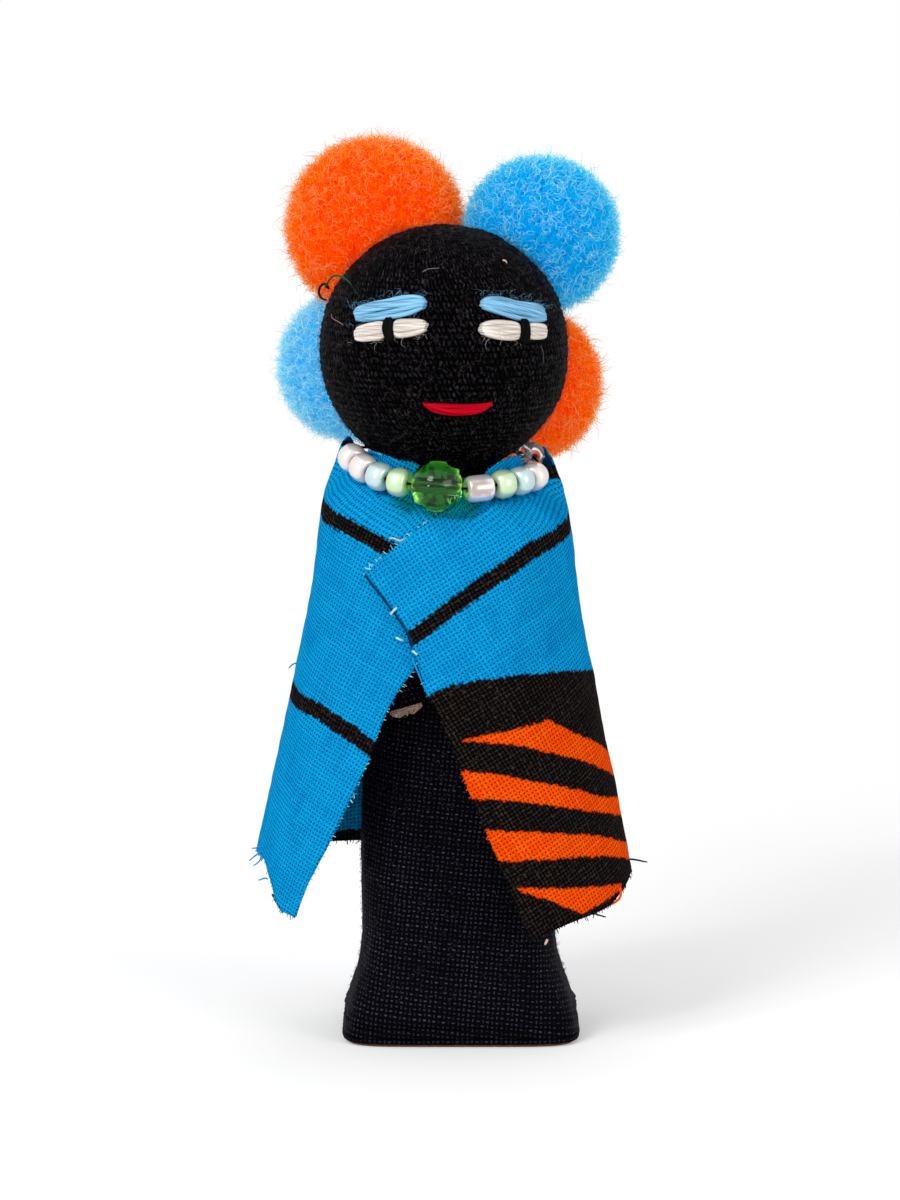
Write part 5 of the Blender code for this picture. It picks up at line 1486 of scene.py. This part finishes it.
SEED = (SEED_RADIUS, SEED_LENGTH + 0.15, SEED_BORE, 2.5, 48, 22)
TUBE = (TUBE_RADIUS, TUBE_LENGTH, SEED_BORE, 4.0, 48, 26)
CLEAR = (CLEAR_RADIUS, CLEAR_LENGTH, SEED_BORE, 2.5, 48, 22)
FACETED = (BIG_RADIUS, BIG_LENGTH + 0.2, BIG_BORE, 2.05, 9, 6, True)
BEADS = (  # name, angle on the loop, form, finish
    ("bead_green_right", left_beads[0], SEED, "pearl_green"),
    ("bead_aqua_right", left_beads[1], SEED, "pearl_aqua"),
    ("bead_white_right_inner", left_beads[2], SEED, "pearl_white"),
    ("bead_white_right_outer", left_beads[3], SEED, "pearl_white"),
    ("bead_green_left", right_beads[1], SEED, "pearl_green"),
    ("bead_aqua_left", right_beads[2], SEED, "pearl_aqua"),
    ("bead_white_left", right_beads[3], SEED, "pearl_white"),
    ("bead_silver_tube", right_beads[0], TUBE, "silver_bead"),
    ("bead_clear_back", COLLAR_CROSS[1] + CLEAR_BEAD_PAST, CLEAR, "clear_bead"),
    ("bead_green_large", BIG_ANGLE, FACETED, "green_glass"),
)
for name, angle, form, slot in BEADS:
    shape = skin(bead_shape(angle, *form), ring_round=True)
    add_piece(name + "_glass", shape, BEAD_FINISH[slot], "turning_" + name, (name,))

# %% Thread of the necklace
THREAD_RADIUS = 0.2
THREAD_STEPS = 360
line = loop_points(np.linspace(-180.0, 180.0, THREAD_STEPS, endpoint=False))
way = loop_ways(line)
side = unit(np.cross((0.0, 0.0, 1.0), way))
up = np.cross(way, side)
turn = full_turn(9)
ply = 1 - 0.18 * np.abs(np.sin(1.5 * (turn + np.arange(THREAD_STEPS)[:, None] * 0.35)))
ring = side[:, None] * np.cos(turn)[:, None] + up[:, None] * np.sin(turn)[:, None]
shape = skin(line[:, None] + ring * (THREAD_RADIUS * ply)[..., None], ring_round=True)
add_piece(
    "necklace_twisted_thread", shape, THREADS["black_thread"], "doll_body", ("necklace_thread",),
    even_marks(shape, 0.3, 0.5),
)

# %% [markdown]
# ## Neck
# Under the head the knit is gathered into a tail that goes down into the body, with thread wound round it. The tail
# has pleats, and its top is hollowed to the ball. Little of it shows, but it carries the head.

# %% Tail and winding
TAIL_RADIUS = 4.8
TAIL_SIDES, TAIL_PLEATS = 120, 15
TIE_GROOVE, TIE_THREAD, TIE_TURNS = 0.4, 0.55, 3
TIE_TOP = BODY_FOOT + BODY_HEIGHT - 2.6
TIE_SLACK = 0.12
tie_bottom = TIE_TOP - TIE_TURNS * TIE_THREAD
seat = HEAD_RADIUS + GAP
groove = TAIL_RADIUS - TIE_GROOVE


def under_head(radius):
    """Height of the seat under the ball, at a distance from the neck's middle."""
    return HEAD_Z - math.sqrt(seat**2 - radius**2)


TAIL_PROFILE = (  # radius, height and depth of the pleats
    (1.2, TAIL_BOTTOM, 0.0), (TAIL_RADIUS * 0.7, TAIL_BOTTOM, 0.5), (TAIL_RADIUS * 0.93, TAIL_BOTTOM + 0.5, 1.0),
    (TAIL_RADIUS, TAIL_BOTTOM + 1.2, 1.0), (TAIL_RADIUS, tie_bottom - 0.7, 1.0), (groove, tie_bottom - 0.35, 0.4),
    (groove, TIE_TOP + 0.35, 0.4), (TAIL_RADIUS, TIE_TOP + 0.7, 1.0), (TAIL_RADIUS, under_head(TAIL_RADIUS), 0.6),
    (TAIL_RADIUS * 0.8, under_head(TAIL_RADIUS * 0.8), 0.3), (TAIL_RADIUS * 0.5, under_head(TAIL_RADIUS * 0.5), 0.0),
    (TAIL_RADIUS * 0.2, under_head(TAIL_RADIUS * 0.2), 0.0),
)
radius, height, pleated = np.array(TAIL_PROFILE).T[..., None]
turn = full_turn(TAIL_SIDES)
radii = radius * (1 - 0.09 * (0.5 + 0.5 * np.cos(TAIL_PLEATS * turn)) * pleated)
level = height * np.ones(TAIL_SIDES)
grid = np.stack([NECK_X + radii * np.cos(turn), radii * np.sin(turn), level], -1)
add_piece(
    "neck_gathered_tail", skin(grid), knit, "doll_neck", ("neck_tail",),
    cloth_of_skin(turn * TAIL_RADIUS + 0 * level, level),
)
turn = np.linspace(0, 2 * np.pi * (TIE_TURNS - TIE_SLACK), 300)
wound = groove + 0.12 + TIE_THREAD / 2
climb = 0.45 + turn / (2 * np.pi) * 0.93 * TIE_TURNS / (TIE_TURNS - TIE_SLACK) * 0.72
line = np.stack([NECK_X + wound * np.cos(turn), wound * np.sin(turn), tie_bottom + TIE_THREAD * climb], -1)
shape = tubes(line[None], np.full((1, 300), TIE_THREAD * 0.42), 10)
add_piece(
    "neck_wound_thread", shape, THREADS["black_thread"], "doll_neck", ("neck_thread",),
    even_marks(shape, 0.4, 0.6),
)

# %% [markdown]
# ## Tack stitches and card
# Three small stitches of pale thread hold the crossed flaps. Each is a short bundle of fibres that bows over the edge
# of the upper flap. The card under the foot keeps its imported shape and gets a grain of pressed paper.

# %% Tack stitches
TACKS = (  # name, angle and height on the shawl, length, tilt
    ("tack_stitch_top", -20.8, 61.5, 1.4, 48.0), ("tack_stitch_middle", 341.6, 57.6, 1.3, -20.0),
    ("tack_stitch_low", -11.4, 56.0, 0.9, -35.0),
)
TACK_FIBRES, TACK_STEPS, TACK_SIDES = 9, 12, 4
pale_thread = fibre_material("pale tack thread", (0.25, 0.5, 0.58), (0.66, 0.83, 0.84), 0.15, 0.6)
for number, (name, angle, z, length, tilt) in enumerate(TACKS):
    random = np.random.default_rng(300 + number)
    around = ((0, 0), (2, 0), (-2, 0), (0, 1), (0, -1))
    place, right, left, above, below = (
        shawl_points(np.array([angle + turn]), np.array([z + rise]))[0] for turn, rise in around
    )
    across, up = unit(right - left), unit(above - below)
    out = np.cross(across, up)
    lean = math.radians(tilt)
    way = across * math.cos(lean) + up * math.sin(lean)
    beside = np.cross(out, way)
    at = np.linspace(-1, 1, TACK_STEPS)
    bow = COTTON / 2 + 0.2 + 0.22 * (1 - at**4)
    paths, radii = [], []
    for j in range(TACK_FIBRES + 1):  # the last one is the core
        turn = 2 * np.pi * j / TACK_FIBRES + at * 1.6
        off, thick = (0.0, 0.1) if j == TACK_FIBRES else (0.11, 0.05)
        line = place + way * (at * length / 2)[:, None] + out * (bow + off * np.sin(turn))[:, None]
        paths.append(line + beside * (off * np.cos(turn))[:, None])
        radii.append(thick * (1 - 0.4 * at**6))
    shape = tubes(np.array(paths), np.array(radii), TACK_SIDES)
    marks = {
        key: np.repeat(random.random(TACK_FIBRES + 1), TACK_STEPS * TACK_SIDES) for key in ("along", "chance")
    }
    add_piece(name + "_thread", shape, pale_thread, "doll_body", (name,), marks)

# %% Card
card, tree, shader = new_material("pressed card", {"Roughness": 0.85, "Specular IOR Level": 0.2})
grain = noise(tree, own_place(tree), 1400.0, 4.0, 0.6)
put(tree, shader.inputs["Base Color"], tinted(tree, grain, (0.06, 0.03, 0.018), (0.26, 0.14, 0.08)))
put(tree, shader.inputs["Normal"], bump(tree, grain, 0.1))
card_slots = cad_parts["base_card"].data.materials
card_slots.clear()
card_slots.append(card)
print("card finished")
